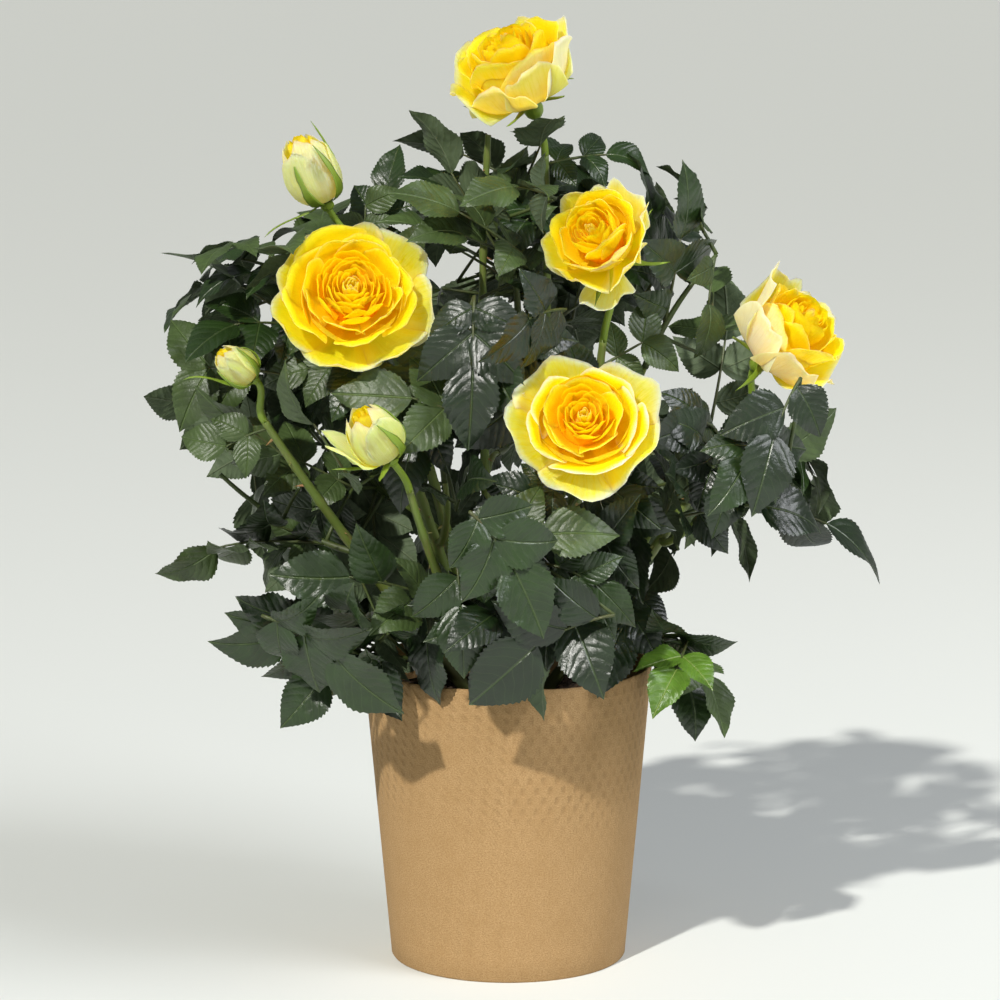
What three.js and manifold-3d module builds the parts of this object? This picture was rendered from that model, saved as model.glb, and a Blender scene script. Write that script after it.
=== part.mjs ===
// A rose bush in flower, in a tapered round pot of kraft card.
// Millimetres, +Z up, origin at the middle of the pot's flat underside, front towards -Y.
import * as THREE from "three";
import { mergeVertices } from "three/addons/utils/BufferGeometryUtils.js";
import Module from "manifold-3d";

const wasm = await Module();
wasm.setup();

// Driving dimensions
const CLEAR = 0.3; // gap between pieces that meet
const POT = { base: 53, rim: 65, height: 134, wall: 1.2, floor: 3, sides: 36 };
const SOIL_TOP = 118;
// The crown as a whole: shoots spread evenly over its inside end in whorls of leaves.
const CROWN = {
  centre: new THREE.Vector3(0, 2, 236),
  reach: [160, 112, 134],
  shoots: 36,
  depth: 0.74, // where shoots end, as a share of the reach
  whorl: 3, // leaves round the end of a shoot
};
// How far the leaves reach at each height: to the left and the right, from the photo's outline
const OUTLINE = [
  [105, -60, 88], [128, -97, 96], [150, -120, 106], [178, -150, 162], [204, -144, 158],
  [225, -152, 146], [243, -152, 138], [262, -168, 120], [298, -150, 112], [316, -141, 106],
  [343, -72, 96], [358, -60, 88], [378, -36, 52],
];
const LEAF = {
  length: 38, // of the leaflet at the end of a leaf
  width: 0.74, // of a leaflet, as a share of its length
  widest: 0.42, // and where it is widest
  thick: 0.9,
  fold: 0.14, // how far a leaflet's edges rise, as a share of its half width
  nodes: [1, 1.37, 1.74], // where leaflets sit: lengths back from the leaf's tip
  angles: [0, 0.95, 1.15], // between leaflets and the leaf's own line
  sizes: [1, 0.84, 0.68],
  arch: 0.2, // how far a leaf rises over its own line
  bulge: 0.3, // and stands out from the crown before it hangs
  stalk: 0.9, // half the width of a leaf's stalk
  tries: 70,
};
const BOUGH = { r: [1.9, 1.5], rise: 0.6 };
const STEM = { r: [1.6, 1.3] };
const WALL = 0.6; // each mass stays this far from the walls between the spaces

// Canes leave the soil at foot and end at tip, where a flower stalk or a cut takes over.
const CANES = {
  cane_top: { foot: [7, 3], via: [20, 4, 255], tip: [16, -1, 362], r: [3.0, 2.2] },
  cane_cut: { foot: [-4, 9], via: [-16, 8, 255], tip: [-9, 2, 370], r: [2.8, 1.8] },
  cane_upper_left: { foot: [-13, 4], via: [-34, 4, 240], tip: [-68, -12, 322], r: [3.0, 2.0] },
  cane_left: { foot: [-8, -6], via: [-42, -14, 215], tip: [-58, -24, 278], r: [3.2, 2.2] },
  cane_left_low: { foot: [-17, -5], via: [-70, -30, 190], tip: [-106, -48, 250], r: [3.2, 2.2] },
  cane_front_left: { foot: [-6, -17], via: [-30, -80, 180], tip: [-42, -92, 226], r: [3.0, 2.1] },
  cane_front: { foot: [5, -15], via: [24, -62, 195], tip: [30, -72, 236], r: [3.2, 2.2] },
  cane_centre_right: { foot: [12, -5], via: [36, -20, 230], tip: [41, -38, 284], r: [3.0, 2.2] },
  cane_right: { foot: [17, 4], via: [78, -2, 200], tip: [106, -12, 250], r: [3.2, 2.2] },
};

// Flower heads: centre, the way each faces, its radius and how far it is open (0 bud, 1 full).
const BLOOMS = {
  rose_top: {
    cane: "cane_top", centre: [1, -11, 399], faces: [-0.5, -0.42, 0.75], radius: 27, open: 0.75,
  },
  rose_left: {
    cane: "cane_left", centre: [-67, -75, 306], faces: [0.02, -0.97, 0.2], radius: 33, open: 1,
  },
  rose_centre: {
    cane: "cane_centre_right", centre: [38, -60, 329], faces: [-0.04, -0.75, 0.66], radius: 24,
    open: 0.7,
  },
  rose_right: {
    cane: "cane_right", centre: [123, -30, 288], faces: [0.5, -0.45, 0.74], radius: 24, open: 0.6,
  },
  rose_front: {
    cane: "cane_front", centre: [32, -110, 257], faces: [0.04, -0.95, 0.3], radius: 30, open: 1,
  },
  bud_upper_left: {
    cane: "cane_upper_left", centre: [-86, -20, 356], faces: [-0.42, -0.15, 0.9], radius: 14.5, open: 0,
  },
  bud_left: {
    cane: "cane_left_low", centre: [-116, -60, 275], faces: [-0.5, -0.35, 0.78], radius: 9.5, open: 0,
  },
  bud_front: {
    cane: "cane_front_left", centre: [-58, -108, 253], faces: [-0.6, -0.35, 0.72], radius: 14, open: 0,
  },
};

// Masses of foliage. Each keeps to its own space round centre, wider for a larger size,
// and grows from the named cane at a share of its length. Tips are the points of the outline that
// single leaves of it reach.
const MASSES = {
  foliage_top: {
    centre: [-8, -16, 330], size: 57, on: "cane_top", at: 0.6,
    tips: [[58, -20, 361], [-34, -6, 372], [-40, -82, 312]],
  },
  foliage_left_high: {
    centre: [-96, -6, 296], size: 58, on: "cane_upper_left", at: 0.5,
    tips: [[-141, -10, 317], [-49, 10, 362], [-165, -20, 260]],
  },
  foliage_left: {
    centre: [-112, -26, 214], size: 57, on: "cane_left_low", at: 0.55,
    tips: [[-139, -50, 208], [-113, -72, 227], [-149, -30, 176]],
  },
  foliage_foot_left: {
    centre: [-66, -52, 150], size: 55, on: "cane_left_low", at: 0.16,
    tips: [[-116, -70, 155], [-91, -50, 118], [-44, -88, 122], [-71, -98, 182]],
  },
  foliage_heart: {
    centre: [-26, -50, 258], size: 58, on: "cane_left", at: 0.45,
    tips: [[-14, -92, 236]],
  },
  foliage_front: {
    centre: [10, -82, 186], size: 55, on: "cane_front", at: 0.3,
    tips: [[19, -118, 162], [40, -112, 144], [-14, -114, 170], [43, -104, 206], [-22, -100, 132]],
  },
  foliage_right_high: {
    centre: [82, -14, 304], size: 57, on: "cane_centre_right", at: 0.7,
    tips: [[78, -30, 355], [101, -40, 320]],
  },
  foliage_right: {
    centre: [110, -34, 224], size: 57, on: "cane_right", at: 0.55,
    tips: [[163, -20, 179], [136, -10, 240], [100, -80, 207]],
  },
  foliage_right_low: {
    centre: [82, -38, 154], size: 56, on: "cane_right", at: 0.2,
    tips: [[94, -70, 154], [92, -40, 113], [68, -90, 162]],
  },
  foliage_back_high: {
    centre: [8, 58, 300], size: 69, on: "cane_top", at: 0.5,
    tips: [],
  },
  foliage_back_left: {
    centre: [-80, 56, 222], size: 70, on: "cane_upper_left", at: 0.35,
    tips: [],
  },
  foliage_back_right: {
    centre: [86, 56, 222], size: 70, on: "cane_right", at: 0.35,
    tips: [],
  },
  foliage_back: {
    centre: [4, 72, 234], size: 60, on: "cane_cut", at: 0.4,
    tips: [[-16, 112, 236], [26, 112, 214]],
  },
  foliage_back_low: {
    centre: [0, 76, 166], size: 65, on: "cane_cut", at: 0.14,
    tips: [],
  },
};
const UP = new THREE.Vector3(0, 0, 1);
const GOLDEN = Math.PI * (3 - Math.sqrt(5));

// Small helpers for points
const vec = (a) => new THREE.Vector3(...a);
const mix = (a, b, t) => a.clone().lerp(b, t);
const from = (a, dir, d) => a.clone().addScaledVector(dir, d);
const unit = (v) => v.clone().normalize();
const across = (v, axis) => v.clone().addScaledVector(axis, -v.dot(axis)).normalize();
const bend = (a, b, c) => new THREE.QuadraticBezierCurve3(a, b, c);

// The same stream of numbers from the same seed, between 0 and 1
function numbers(seed) {
  let a = seed >>> 0;
  return () => {
    a = (a + 0x6d2b79f5) >>> 0;
    let t = Math.imul(a ^ (a >>> 15), 1 | a);
    t = (t + Math.imul(t ^ (t >>> 7), 61 | t)) ^ t;
    return ((t ^ (t >>> 14)) >>> 0) / 4294967296;
  };
}

// Closed geometries to solids and back, and the union of several
function solid(geometry) {
  const bare = geometry.index ? geometry.toNonIndexed() : geometry.clone();
  bare.deleteAttribute("normal");
  bare.deleteAttribute("uv");
  const merged = mergeVertices(bare, 1e-4);
  const mesh = new wasm.Mesh({
    numProp: 3,
    vertProperties: merged.attributes.position.array,
    triVerts: new Uint32Array(merged.index.array),
  });
  return new wasm.Manifold(mesh);
}
function joined(geometries) {
  const bodies = wasm.Manifold.union(geometries.map(solid)).decompose();
  const mesh = bodies.sort((a, b) => b.volume() - a.volume())[0].getMesh();
  const geometry = new THREE.BufferGeometry();
  geometry.setAttribute("position", new THREE.BufferAttribute(mesh.vertProperties, 3));
  geometry.setIndex(new THREE.BufferAttribute(mesh.triVerts, 1));
  return geometry.toNonIndexed();
}

// Moves every vertex of a geometry by a function of its place and number.
function warped(geometry, place) {
  const at = geometry.attributes.position;
  const p = new THREE.Vector3();
  for (let i = 0; i < at.count; i++) {
    const q = place(p.fromBufferAttribute(at, i), i);
    at.setXYZ(i, q.x, q.y, q.z);
  }
  return geometry;
}

// A limb: a tube of the given sides along a curve, tapering from radius r0 to r1.
function limb(curve, r0, r1, sides, steps) {
  const frames = curve.computeFrenetFrames(steps);
  return warped(new THREE.CylinderGeometry(1, 1, 1, sides, steps), (p) => {
    const t = THREE.MathUtils.clamp(p.y + 0.5, 0, 1);
    const i = Math.round(t * steps);
    const r = THREE.MathUtils.lerp(r0, r1, t);
    return curve
      .getPointAt(t)
      .addScaledVector(frames.normals[i], -p.x * r)
      .addScaledVector(frames.binormals[i], p.z * r);
  });
}

// A sepal: a lozenge of eight faces from base along its own line
function sepal(base, along, normal, length, half) {
  const side = along.clone().cross(normal);
  return warped(new THREE.OctahedronGeometry(1), (p) => {
    const reach = length * (0.4 + (p.y > 0 ? 0.6 : 0.4) * p.y);
    return from(base, along, reach).addScaledVector(side, p.x * half).addScaledVector(normal, p.z * 0.6);
  });
}

// A sheet of triangles made solid: two faces a thickness apart and a wall round its edge
function thickened(points, normals, faces, thick) {
  const count = points.length;
  const shifted = (by) => points.flatMap((p, i) => from(p, normals[i], by).toArray());
  const index = [];
  const edge = new Map();
  for (const [a, b, c] of faces) {
    index.push(a, b, c, count + a, count + c, count + b);
    for (const [p, q] of [[a, b], [b, c], [c, a]]) {
      if (!edge.delete(`${q} ${p}`)) edge.set(`${p} ${q}`, [p, q]);
    }
  }
  for (const [p, q] of edge.values()) index.push(q, p, count + p, q, count + p, count + q);
  const geometry = new THREE.BufferGeometry();
  const position = new Float32Array([...shifted(thick / 2), ...shifted(-thick / 2)]);
  geometry.setAttribute("position", new THREE.BufferAttribute(position, 3));
  geometry.setIndex(index);
  return geometry;
}

// Canes, from the soil to their tips
const limbs = {};
function addLimb(name, curve, r0, r1, sides, steps) {
  limbs[name] = { curve, r0, r1, geometry: limb(curve, r0, r1, sides, steps) };
}
for (const [name, c] of Object.entries(CANES)) {
  const foot = new THREE.Vector3(...c.foot, SOIL_TOP + CLEAR);
  const lean = unit(vec(c.via).sub(foot));
  foot.z += c.r[0] * Math.hypot(lean.x, lean.y);
  addLimb(name, bend(foot, vec(c.via), vec(c.tip)), c.r[0], c.r[1], 5, 5);
}

// A bough leaves its cane at a slant and ends where it enters its mass. A mass that sits close to
// its cane has none: its own stem starts there.
for (const [name, m] of Object.entries(MASSES)) {
  const cane = limbs[m.on];
  m.c = vec(m.centre);
  const root = cane.curve.getPointAt(m.at);
  const tangent = cane.curve.getTangentAt(m.at);
  const out = across(m.c.clone().sub(root), tangent);
  const rising = out.clone().multiplyScalar(1 - BOUGH.rise / 2);
  const heading = unit(rising.addScaledVector(tangent, BOUGH.rise));
  const slant = Math.abs(heading.dot(tangent));
  const caneRadius = THREE.MathUtils.lerp(cane.r0, cane.r1, m.at);
  m.entry = from(root, out, caneRadius * 0.88 + CLEAR + BOUGH.r[0] * slant * 0.8);
  m.heading = heading;
  const far = m.c.distanceTo(m.entry);
  if (far > m.size * 0.7 + 14) {
    const end = mix(m.entry, m.c, 1 - (m.size * 0.7) / far);
    const curve = bend(m.entry, from(m.entry, heading, m.entry.distanceTo(end) * 0.45), end);
    addLimb(name.replace("foliage", "bough"), curve, BOUGH.r[0], BOUGH.r[1], 4, 3);
    m.heading = curve.getTangentAt(1);
    m.entry = from(end, m.heading, CLEAR);
  }
  const inner = from(m.c, unit(m.c.clone().sub(m.entry)), m.size * 0.3);
  m.stem = bend(m.entry, from(m.entry, m.heading, m.entry.distanceTo(inner) * 0.5), inner);
}

// What foliage keeps clear of: points with a radius, along the limbs and in the flowers. A mass
// keeps clear of every stem but its own.
const obstacles = [];
function keepClear(curve, r0, r1, owner) {
  const count = Math.ceil(curve.getLength() / 3);
  for (let i = 0; i <= count; i++) {
    const t = i / count;
    obstacles.push({ at: curve.getPointAt(t), r: THREE.MathUtils.lerp(r0, r1, t), owner });
  }
}
for (const l of Object.values(limbs)) keepClear(l.curve, l.r0, l.r1);
for (const m of Object.values(MASSES)) keepClear(m.stem, STEM.r[0], STEM.r[1], m);

// Half outlines of a flower, from under its hip out over each ring of petals to its heart: radius
// and height as shares of its own, how far that ring's five petals stand out, and the ring.
const HIP = [[0, -0.4, 0, 0], [0.13, -0.36, 0, 0], [0.18, -0.2, 0, 0], [0.14, 0, 0, 0]];
const OPEN_ROSE = [
  ...HIP, [0.62, 0.16, 0.03, 0], [0.98, 0.62, 0.05, 0], [0.9, 0.7, 0.05, 0], [0.72, 0.58, 0, 1],
  [0.78, 0.92, 0.08, 1], [0.56, 0.68, 0, 2], [0.54, 1, 0.08, 2], [0.36, 0.8, 0, 3], [0, 0.98, 0, 3],
];
const CUPPED_ROSE = [
  ...HIP, [0.66, 0.2, 0.03, 0], [0.98, 0.68, 0.06, 0], [0.74, 0.72, 0, 1], [0.72, 1, 0.08, 1],
  [0.5, 0.84, 0, 2], [0.42, 1.1, 0.08, 2], [0, 1, 0, 3],
];
const ROSE_BUD = [
  ...HIP, [0.8, 0.2, 0.02, 0], [1, 0.48, 0.04, 0], [0.82, 0.82, 0.06, 0], [0.5, 1, 0.08, 0],
  [0, 0.98, 0, 1],
];
const PETALS = 5;

function petals(outline, radius, depth, perPetal, place) {
  const tall = (z) => z * (z < 0 ? radius * 0.9 : depth);
  const line = outline.map(([r, z]) => new THREE.Vector2(r * radius, tall(z)));
  return warped(new THREE.LatheGeometry(line, PETALS * perPetal), (p, i) => {
    const [, , stand, ring] = outline[i % outline.length];
    const angle = Math.atan2(p.x, p.z);
    const lobe = Math.cos(PETALS * (angle - (ring * Math.PI) / PETALS));
    const grow = 1 + stand * lobe;
    return place(-p.x * grow, p.z * grow, p.y + stand * lobe * depth * 0.5);
  });
}

// A flower head with its hip, five sepals and the stalk that carries it on its cane
function flower(b) {
  const open = b.open > 0.5;
  const faces = vec(b.faces).normalize();
  const depth = b.radius * (open ? 1.25 - 0.35 * b.open : 2.1);
  const base = from(vec(b.centre), faces, -depth * (open ? 0.65 : 0.5));
  const side = across(new THREE.Vector3(1, 0, 0.01), faces);
  const other = faces.clone().cross(side);
  const place = (x, y, z) => from(base, side, x).addScaledVector(other, y).addScaledVector(faces, z);
  const outline = open ? (b.open > 0.9 ? OPEN_ROSE : CUPPED_ROSE) : ROSE_BUD;
  const pieces = [petals(outline, b.radius, depth, open ? 3 : 2, place)];
  for (let i = 0; i < PETALS; i++) {
    const a = ((i + 0.5) / PETALS) * 2 * Math.PI;
    const spread = open ? 1.35 : 0.5;
    const outward = place(Math.cos(a), Math.sin(a), 0).sub(base);
    const along = from(faces.clone().multiplyScalar(Math.cos(spread)), outward, Math.sin(spread));
    const normal = across(outward, along);
    const at = from(base, faces, -b.radius * 0.1);
    const length = 10 + b.radius * 0.6;
    pieces.push(sepal(at, along, normal, length, 2.6));
    obstacles.push({ at: from(at, along, length * 0.7), r: 4 });
  }
  const cane = limbs[b.cane];
  const tangent = cane.curve.getTangentAt(1);
  const start = from(cane.curve.getPointAt(1), tangent, CLEAR);
  const end = from(base, faces, -b.radius * 0.25);
  const reach = start.distanceTo(end);
  const stalk = new THREE.CubicBezierCurve3(
    start, from(start, tangent, reach * 0.35), from(end, faces, -reach * 0.35), end,
  );
  pieces.push(limb(stalk, cane.r1, 2, 5, 4));
  keepClear(stalk, cane.r1, 2);
  for (const along of [0.15, 0.5, 0.9]) {
    obstacles.push({ at: from(base, faces, depth * along), r: b.radius * (0.6 + 0.45 * along) });
  }
  for (const along of [1.2, 2, 2.8]) {
    obstacles.push({ at: from(base, faces, b.radius * along), r: b.radius * 0.8 });
  }
  return pieces;
}
const heads = {};
for (const [name, b] of Object.entries(BLOOMS)) heads[name] = joined(flower(b));

// The space of a mass: nearer to it than to any other mass, by a measure that its size shifts
const masses = Object.values(MASSES);
const powerOf = (m, p) => p.distanceToSquared(m.c) - m.size ** 2;
const massAt = (p) => masses.reduce((a, b) => (powerOf(a, p) < powerOf(b, p) ? a : b));
function inSpace(m, p) {
  const own = powerOf(m, p);
  return masses.every((o) => o === m || powerOf(o, p) - own > 2 * WALL * m.c.distanceTo(o.c));
}
function clearOfPot(p) {
  if (p.z > POT.height + 2.5) return true;
  const r = Math.hypot(p.x, p.y);
  const wall = POT.base + ((POT.rim - POT.base) * p.z) / POT.height;
  return r > wall + 2.5 || (r < wall - POT.wall - 2.5 && p.z > SOIL_TOP + 2.5);
}

// Half the width of a leaflet at a share of its length
const halfWidth = (half, share) => half * Math.max(0, Math.min(1, 4.2 * share, 2.1 * (1 - share)));

// Whether a leaflet comes within a margin of a point
function touches(l, at, margin) {
  const d = at.clone().sub(l.base);
  const y = d.dot(l.along);
  const past = Math.max(0, -y, y - l.length);
  const edge = halfWidth(l.half, y / l.length);
  const x = Math.abs(d.dot(l.side));
  const z = d.dot(l.normal) - Math.min(x, edge) * LEAF.fold;
  return Math.max(0, x - edge) ** 2 + past ** 2 + z ** 2 < margin ** 2;
}

// A point of a leaflet, at a share of its length and of its half width
function onLeaflet(l, share, x) {
  const edge = halfWidth(l.half, share) * x;
  const rise = Math.abs(edge) * LEAF.fold;
  const onRib = from(l.base, l.along, l.length * share);
  return onRib.addScaledVector(l.side, edge).addScaledVector(l.normal, rise);
}

function leafletFits(m, l, grown) {
  const corners = [onLeaflet(l, 1, 0), onLeaflet(l, LEAF.widest, 1), onLeaflet(l, LEAF.widest, -1)];
  if (!corners.every((p) => inSpace(m, p))) return false;
  if (corners.some((p) => p.z < POT.height + 20)) {
    for (let s = 0; s <= 12; s++) {
      for (const x of [-1, 0, 1]) if (!clearOfPot(onLeaflet(l, s / 12, x))) return false;
    }
  }
  if (obstacles.some((o) => o.owner !== m && touches(l, o.at, o.r + 1.2))) return false;
  if (grown.points.some((p) => touches(l, p, 1.4))) return false;
  const rim = [0.2, 0.4, 0.6, 0.8, 1].flatMap((s) => [-0.9, 0, 0.9].map((x) => onLeaflet(l, s, x)));
  return !grown.leaflets.some((o) => rim.some((p) => touches(o, p, 1)));
}

// Whether points of a twig or a leaf's stalk keep to the space of a mass and clear of all else
function lineFits(m, line, grown) {
  if (!line.every((p) => inSpace(m, p) && clearOfPot(p))) return false;
  const others = obstacles.filter((o) => o.owner !== m);
  if (line.some((p) => others.some((o) => p.distanceTo(o.at) < o.r + 1.6))) return false;
  return !line.some((p) => grown.leaflets.some((l) => touches(l, p, 1.4)));
}

// Points every 3 mm on a straight twig, past the first that lie in the stem it grows from
function twigPoints(start, end) {
  const count = Math.ceil(start.distanceTo(end) / 3);
  return Array.from({ length: count }, (_, i) => mix(start, end, (i + 1) / count));
}

// One compound leaf from root to tip: a stalk, a leaflet at its end and one or two pairs behind it
function compoundLeaf(m, root, tip, face, length, grown) {
  const far = root.distanceTo(tip);
  const out = unit(new THREE.Vector3(tip.x - CROWN.centre.x, tip.y - CROWN.centre.y, 0));
  const radial = Math.max(0, unit(tip.clone().sub(root)).dot(out));
  const over = from(mix(root, tip, 0.5), UP, far * LEAF.arch);
  over.addScaledVector(out, far * LEAF.bulge * radial);
  const path = bend(root, over, tip);
  const long = (far + root.distanceTo(over) + over.distanceTo(tip)) / 2;
  const pairs = long > length * 1.84 ? 2 : 1;
  const size = Math.min(length, long / 1.48);
  if (size < length * 0.62 || long > length * 3.1) return null;
  const nodes = LEAF.nodes.slice(0, pairs + 1).map((back) => path.getPoint(1 - (back * size) / long));
  const stalk = [];
  for (let t = 6 / long; t < 1 - size / long; t += 3 / long) stalk.push(path.getPoint(t));
  if (!lineFits(m, [...nodes, ...stalk], grown)) return null;
  const leaflets = [];
  nodes.forEach((base, k) => {
    const line = unit((k ? nodes[k - 1] : tip).clone().sub(base));
    const normal = across(face, line);
    const side = line.clone().cross(normal);
    for (const hand of k ? [-1, 1] : [0]) {
      const along = line.clone().multiplyScalar(Math.cos(LEAF.angles[k]));
      along.addScaledVector(side, hand * Math.sin(LEAF.angles[k]));
      along.addScaledVector(UP, -0.12 * Math.abs(hand)).normalize();
      const l = { base, along, length: size * LEAF.sizes[k], node: k, hand };
      l.half = (l.length * LEAF.width) / 2;
      l.normal = across(from(normal, side, -0.2 * hand), along);
      l.side = along.clone().cross(l.normal);
      if (leafletFits(m, l, grown)) leaflets.push(l);
    }
  });
  const whole = leaflets.length > pairs && leaflets[0].node === 0;
  return whole ? { root, nodes, face, leaflets, stalk } : null;
}

// Whether a point lies within the crown's outline, which is round in plan
function inOutline(p) {
  const [z0, z1] = [OUTLINE[0][0], OUTLINE.at(-1)[0]];
  if (p.z < z0 || p.z > z1) return false;
  const i = OUTLINE.findIndex((row) => row[0] >= p.z) || 1;
  const [low, high] = [OUTLINE[i - 1], OUTLINE[i]];
  const side = p.x < 0 ? 1 : 2;
  const reach = THREE.MathUtils.mapLinear(p.z, low[0], high[0], low[side], high[side]);
  const deep = CROWN.reach[1] * Math.min(1, Math.abs(reach) / 95);
  return (p.x / reach) ** 2 + ((p.y - CROWN.centre.y) / deep) ** 2 < 1.1;
}

// The way out of the crown at a point
const outward = (p) => {
  const [a, b, c] = CROWN.reach;
  const d = p.clone().sub(CROWN.centre);
  return new THREE.Vector3(d.x / a ** 2, d.y / b ** 2, d.z / c ** 2).normalize();
};

// Where shoots end: points spread by the golden angle inside the crown
function shootEnds() {
  const ends = [];
  for (let j = 0; j < CROWN.shoots; j++) {
    const z = 1 - (2 * (j + 0.5)) / CROWN.shoots;
    const flat = Math.sqrt(1 - z * z);
    const dir = new THREE.Vector3(Math.cos(j * GOLDEN) * flat, Math.sin(j * GOLDEN) * flat, z);
    const end = vec(CROWN.reach).multiply(dir).multiplyScalar(CROWN.depth).add(CROWN.centre);
    if (end.z > POT.height + 4) ends.push(end);
  }
  return ends;
}
const ENDS = shootEnds();

function nearestOn(curve, p) {
  const points = curve.getPoints(12).slice(2);
  return points.reduce((a, b) => (a.distanceTo(p) < b.distanceTo(p) ? a : b));
}

// The leaves of a mass: those whose tips reach the outline, and the whorls of its shoots
function leavesOf(m, seed) {
  const next = numbers(seed);
  const spread = () => next() * 2 - 1;
  const jitter = (by) => new THREE.Vector3(spread(), spread(), spread()).multiplyScalar(by);
  const leaves = [];
  const twigs = [];
  const grown = { leaflets: [], points: [] };
  const grow = (allowed, propose) => {
    let best = null;
    for (let k = 0; k < LEAF.tries && best?.leaflets.length !== 5; k++) {
      const size = LEAF.length * (1.04 + 0.08 * spread() - 0.004 * k);
      const { start, root, tip } = propose(k, size);
      const face = outward(tip).addScaledVector(UP, 0.25).add(jitter(0.3));
      if (!allowed(tip) || !lineFits(m, twigPoints(start, root), grown)) continue;
      const leaf = compoundLeaf(m, root, tip, face, size, grown);
      if (leaf && leaf.leaflets.length > (best?.leaflets.length ?? 0)) best = { ...leaf, start };
    }
    if (!best) return;
    const twig = twigPoints(best.start, best.root);
    if (twig.length) twigs.push([best.start, best.root]);
    grown.points.push(...twig);
    for (const l of best.leaflets) {
      for (const s of [0.12, 0.34, 0.56, 0.78, 0.96]) grown.points.push(onLeaflet(l, s, 0));
    }
    grown.points.push(...best.stalk);
    grown.leaflets.push(...best.leaflets);
    leaves.push(best);
  };
  for (const target of m.tips.map(vec)) {
    grow(() => true, (k, size) => {
      const tip = target.clone().add(jitter(0.15 * k));
      const start = m.stem.getPoint(0.12 + 0.88 * next());
      const far = start.distanceTo(tip);
      const straight = unit(tip.clone().sub(start));
      if (far > size * 1.7 || Math.abs(tip.y) < 60) {
        return { start, root: from(start, straight, Math.max(0, far - size * 2.3)), tip };
      }
      const out = outward(tip);
      const down = jitter(1).addScaledVector(UP, -0.8);
      const hang = across(down, out).addScaledVector(out, 0.3).normalize();
      const root = from(tip, hang, -1.9 * size);
      return { start: nearestOn(m.stem, root), root, tip };
    });
  }
  for (const end of ENDS.filter((p) => massAt(p) === m)) {
    const start = nearestOn(m.stem, end);
    const shoot = twigPoints(start, end);
    if (!lineFits(m, shoot, grown)) continue;
    const back = unit(start.clone().sub(end));
    const out = outward(end);
    const turn = next() * 2 * Math.PI;
    const right = across(new THREE.Vector3(-out.y, out.x, 0.01), out);
    const up = out.clone().cross(right);
    const before = leaves.length;
    for (let i = 0; i < CROWN.whorl; i++) {
      grow(inOutline, (k, size) => {
        const angle = turn + (i * 2 * Math.PI) / CROWN.whorl + 0.5 * spread();
        const flat = right.clone().multiplyScalar(Math.cos(angle)).addScaledVector(up, Math.sin(angle));
        const way = flat.addScaledVector(out, 0.45 + 0.3 * spread());
        way.addScaledVector(UP, -0.15).normalize();
        const root = from(end, back, Math.min(4 * i, start.distanceTo(end) * 0.8));
        return { start: root, root, tip: from(root, way, size * (1.95 + 0.25 * spread() - 0.009 * k)) };
      });
    }
    if (leaves.length === before) continue;
    twigs.push([start, end]);
    grown.points.push(...shoot);
  }
  return { leaves, twigs };
}

// The solid of a compound leaf: a strip for its stalk, and leaflets of three triangles that grow
// from its edges
function leafSolid({ root, nodes, face, leaflets }) {
  const stations = [root];
  nodes.toReversed().forEach((node, i) => {
    const behind = unit(node.clone().sub(stations.at(-1)));
    if (i < nodes.length - 1) stations.push(from(node, behind, -1.4), from(node, behind, 1.4));
    else stations.push(node);
  });
  const points = [];
  const normals = [];
  const faces = [];
  const put = (p, normal) => {
    normals.push(normal);
    return points.push(p) - 1;
  };
  stations.forEach((p, i) => {
    const line = unit((stations[i + 1] ?? p).clone().sub(stations[i + 1] ? p : stations[i - 1]));
    const normal = across(face, line);
    const side = line.clone().cross(normal);
    const left = put(from(p, side, -LEAF.stalk), normal);
    const right = put(from(p, side, LEAF.stalk), normal);
    if (i) faces.push([left - 2, right - 2, right], [left - 2, right, left]);
  });
  for (const l of leaflets) {
    const wide = [-1, 1].map((x) => put(onLeaflet(l, LEAF.widest, x), l.normal));
    const tip = put(onLeaflet(l, 1, 0), l.normal);
    const station = l.node ? 2 * (nodes.length - 1 - l.node) + 1 : stations.length - 1;
    const low = 2 * station + (l.hand > 0 ? 1 : 0);
    const high = l.node ? low + 2 : low + 1;
    const first = l.hand > 0 ? low : high;
    const last = l.hand > 0 ? high : low;
    faces.push([first, wide[1], tip], [first, tip, wide[0]], [first, wide[0], last]);
  }
  return thickened(points, normals, faces, LEAF.thick);
}

function foliage(m, seed) {
  const { leaves, twigs } = leavesOf(m, seed);
  const shoots = twigs.map(([start, end]) => limb(new THREE.LineCurve3(start, end), 1.2, 1.1, 3, 1));
  return [limb(m.stem, ...STEM.r, 3, 3), ...shoots, ...leaves.map(leafSolid)];
}

// Pot and soil: half outlines turned about the upright axis
const wallAt = (z) => POT.base + ((POT.rim - POT.base) * z) / POT.height;
const turned = (outline, sides) => {
  const points = outline.map(([x, y]) => new THREE.Vector2(x, y));
  return new THREE.LatheGeometry(points, sides).rotateX(Math.PI / 2);
};
const potOutline = [
  [0, 0],
  [wallAt(0), 0],
  [wallAt(POT.height), POT.height],
  [wallAt(POT.height) - POT.wall, POT.height],
  [wallAt(POT.floor) - POT.wall, POT.floor],
  [0, POT.floor],
];
const soilBase = POT.floor + CLEAR;
const soilOutline = [
  [0, soilBase],
  [wallAt(soilBase) - POT.wall - CLEAR, soilBase],
  [wallAt(SOIL_TOP) - POT.wall - CLEAR, SOIL_TOP],
  [0, SOIL_TOP],
];

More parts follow.
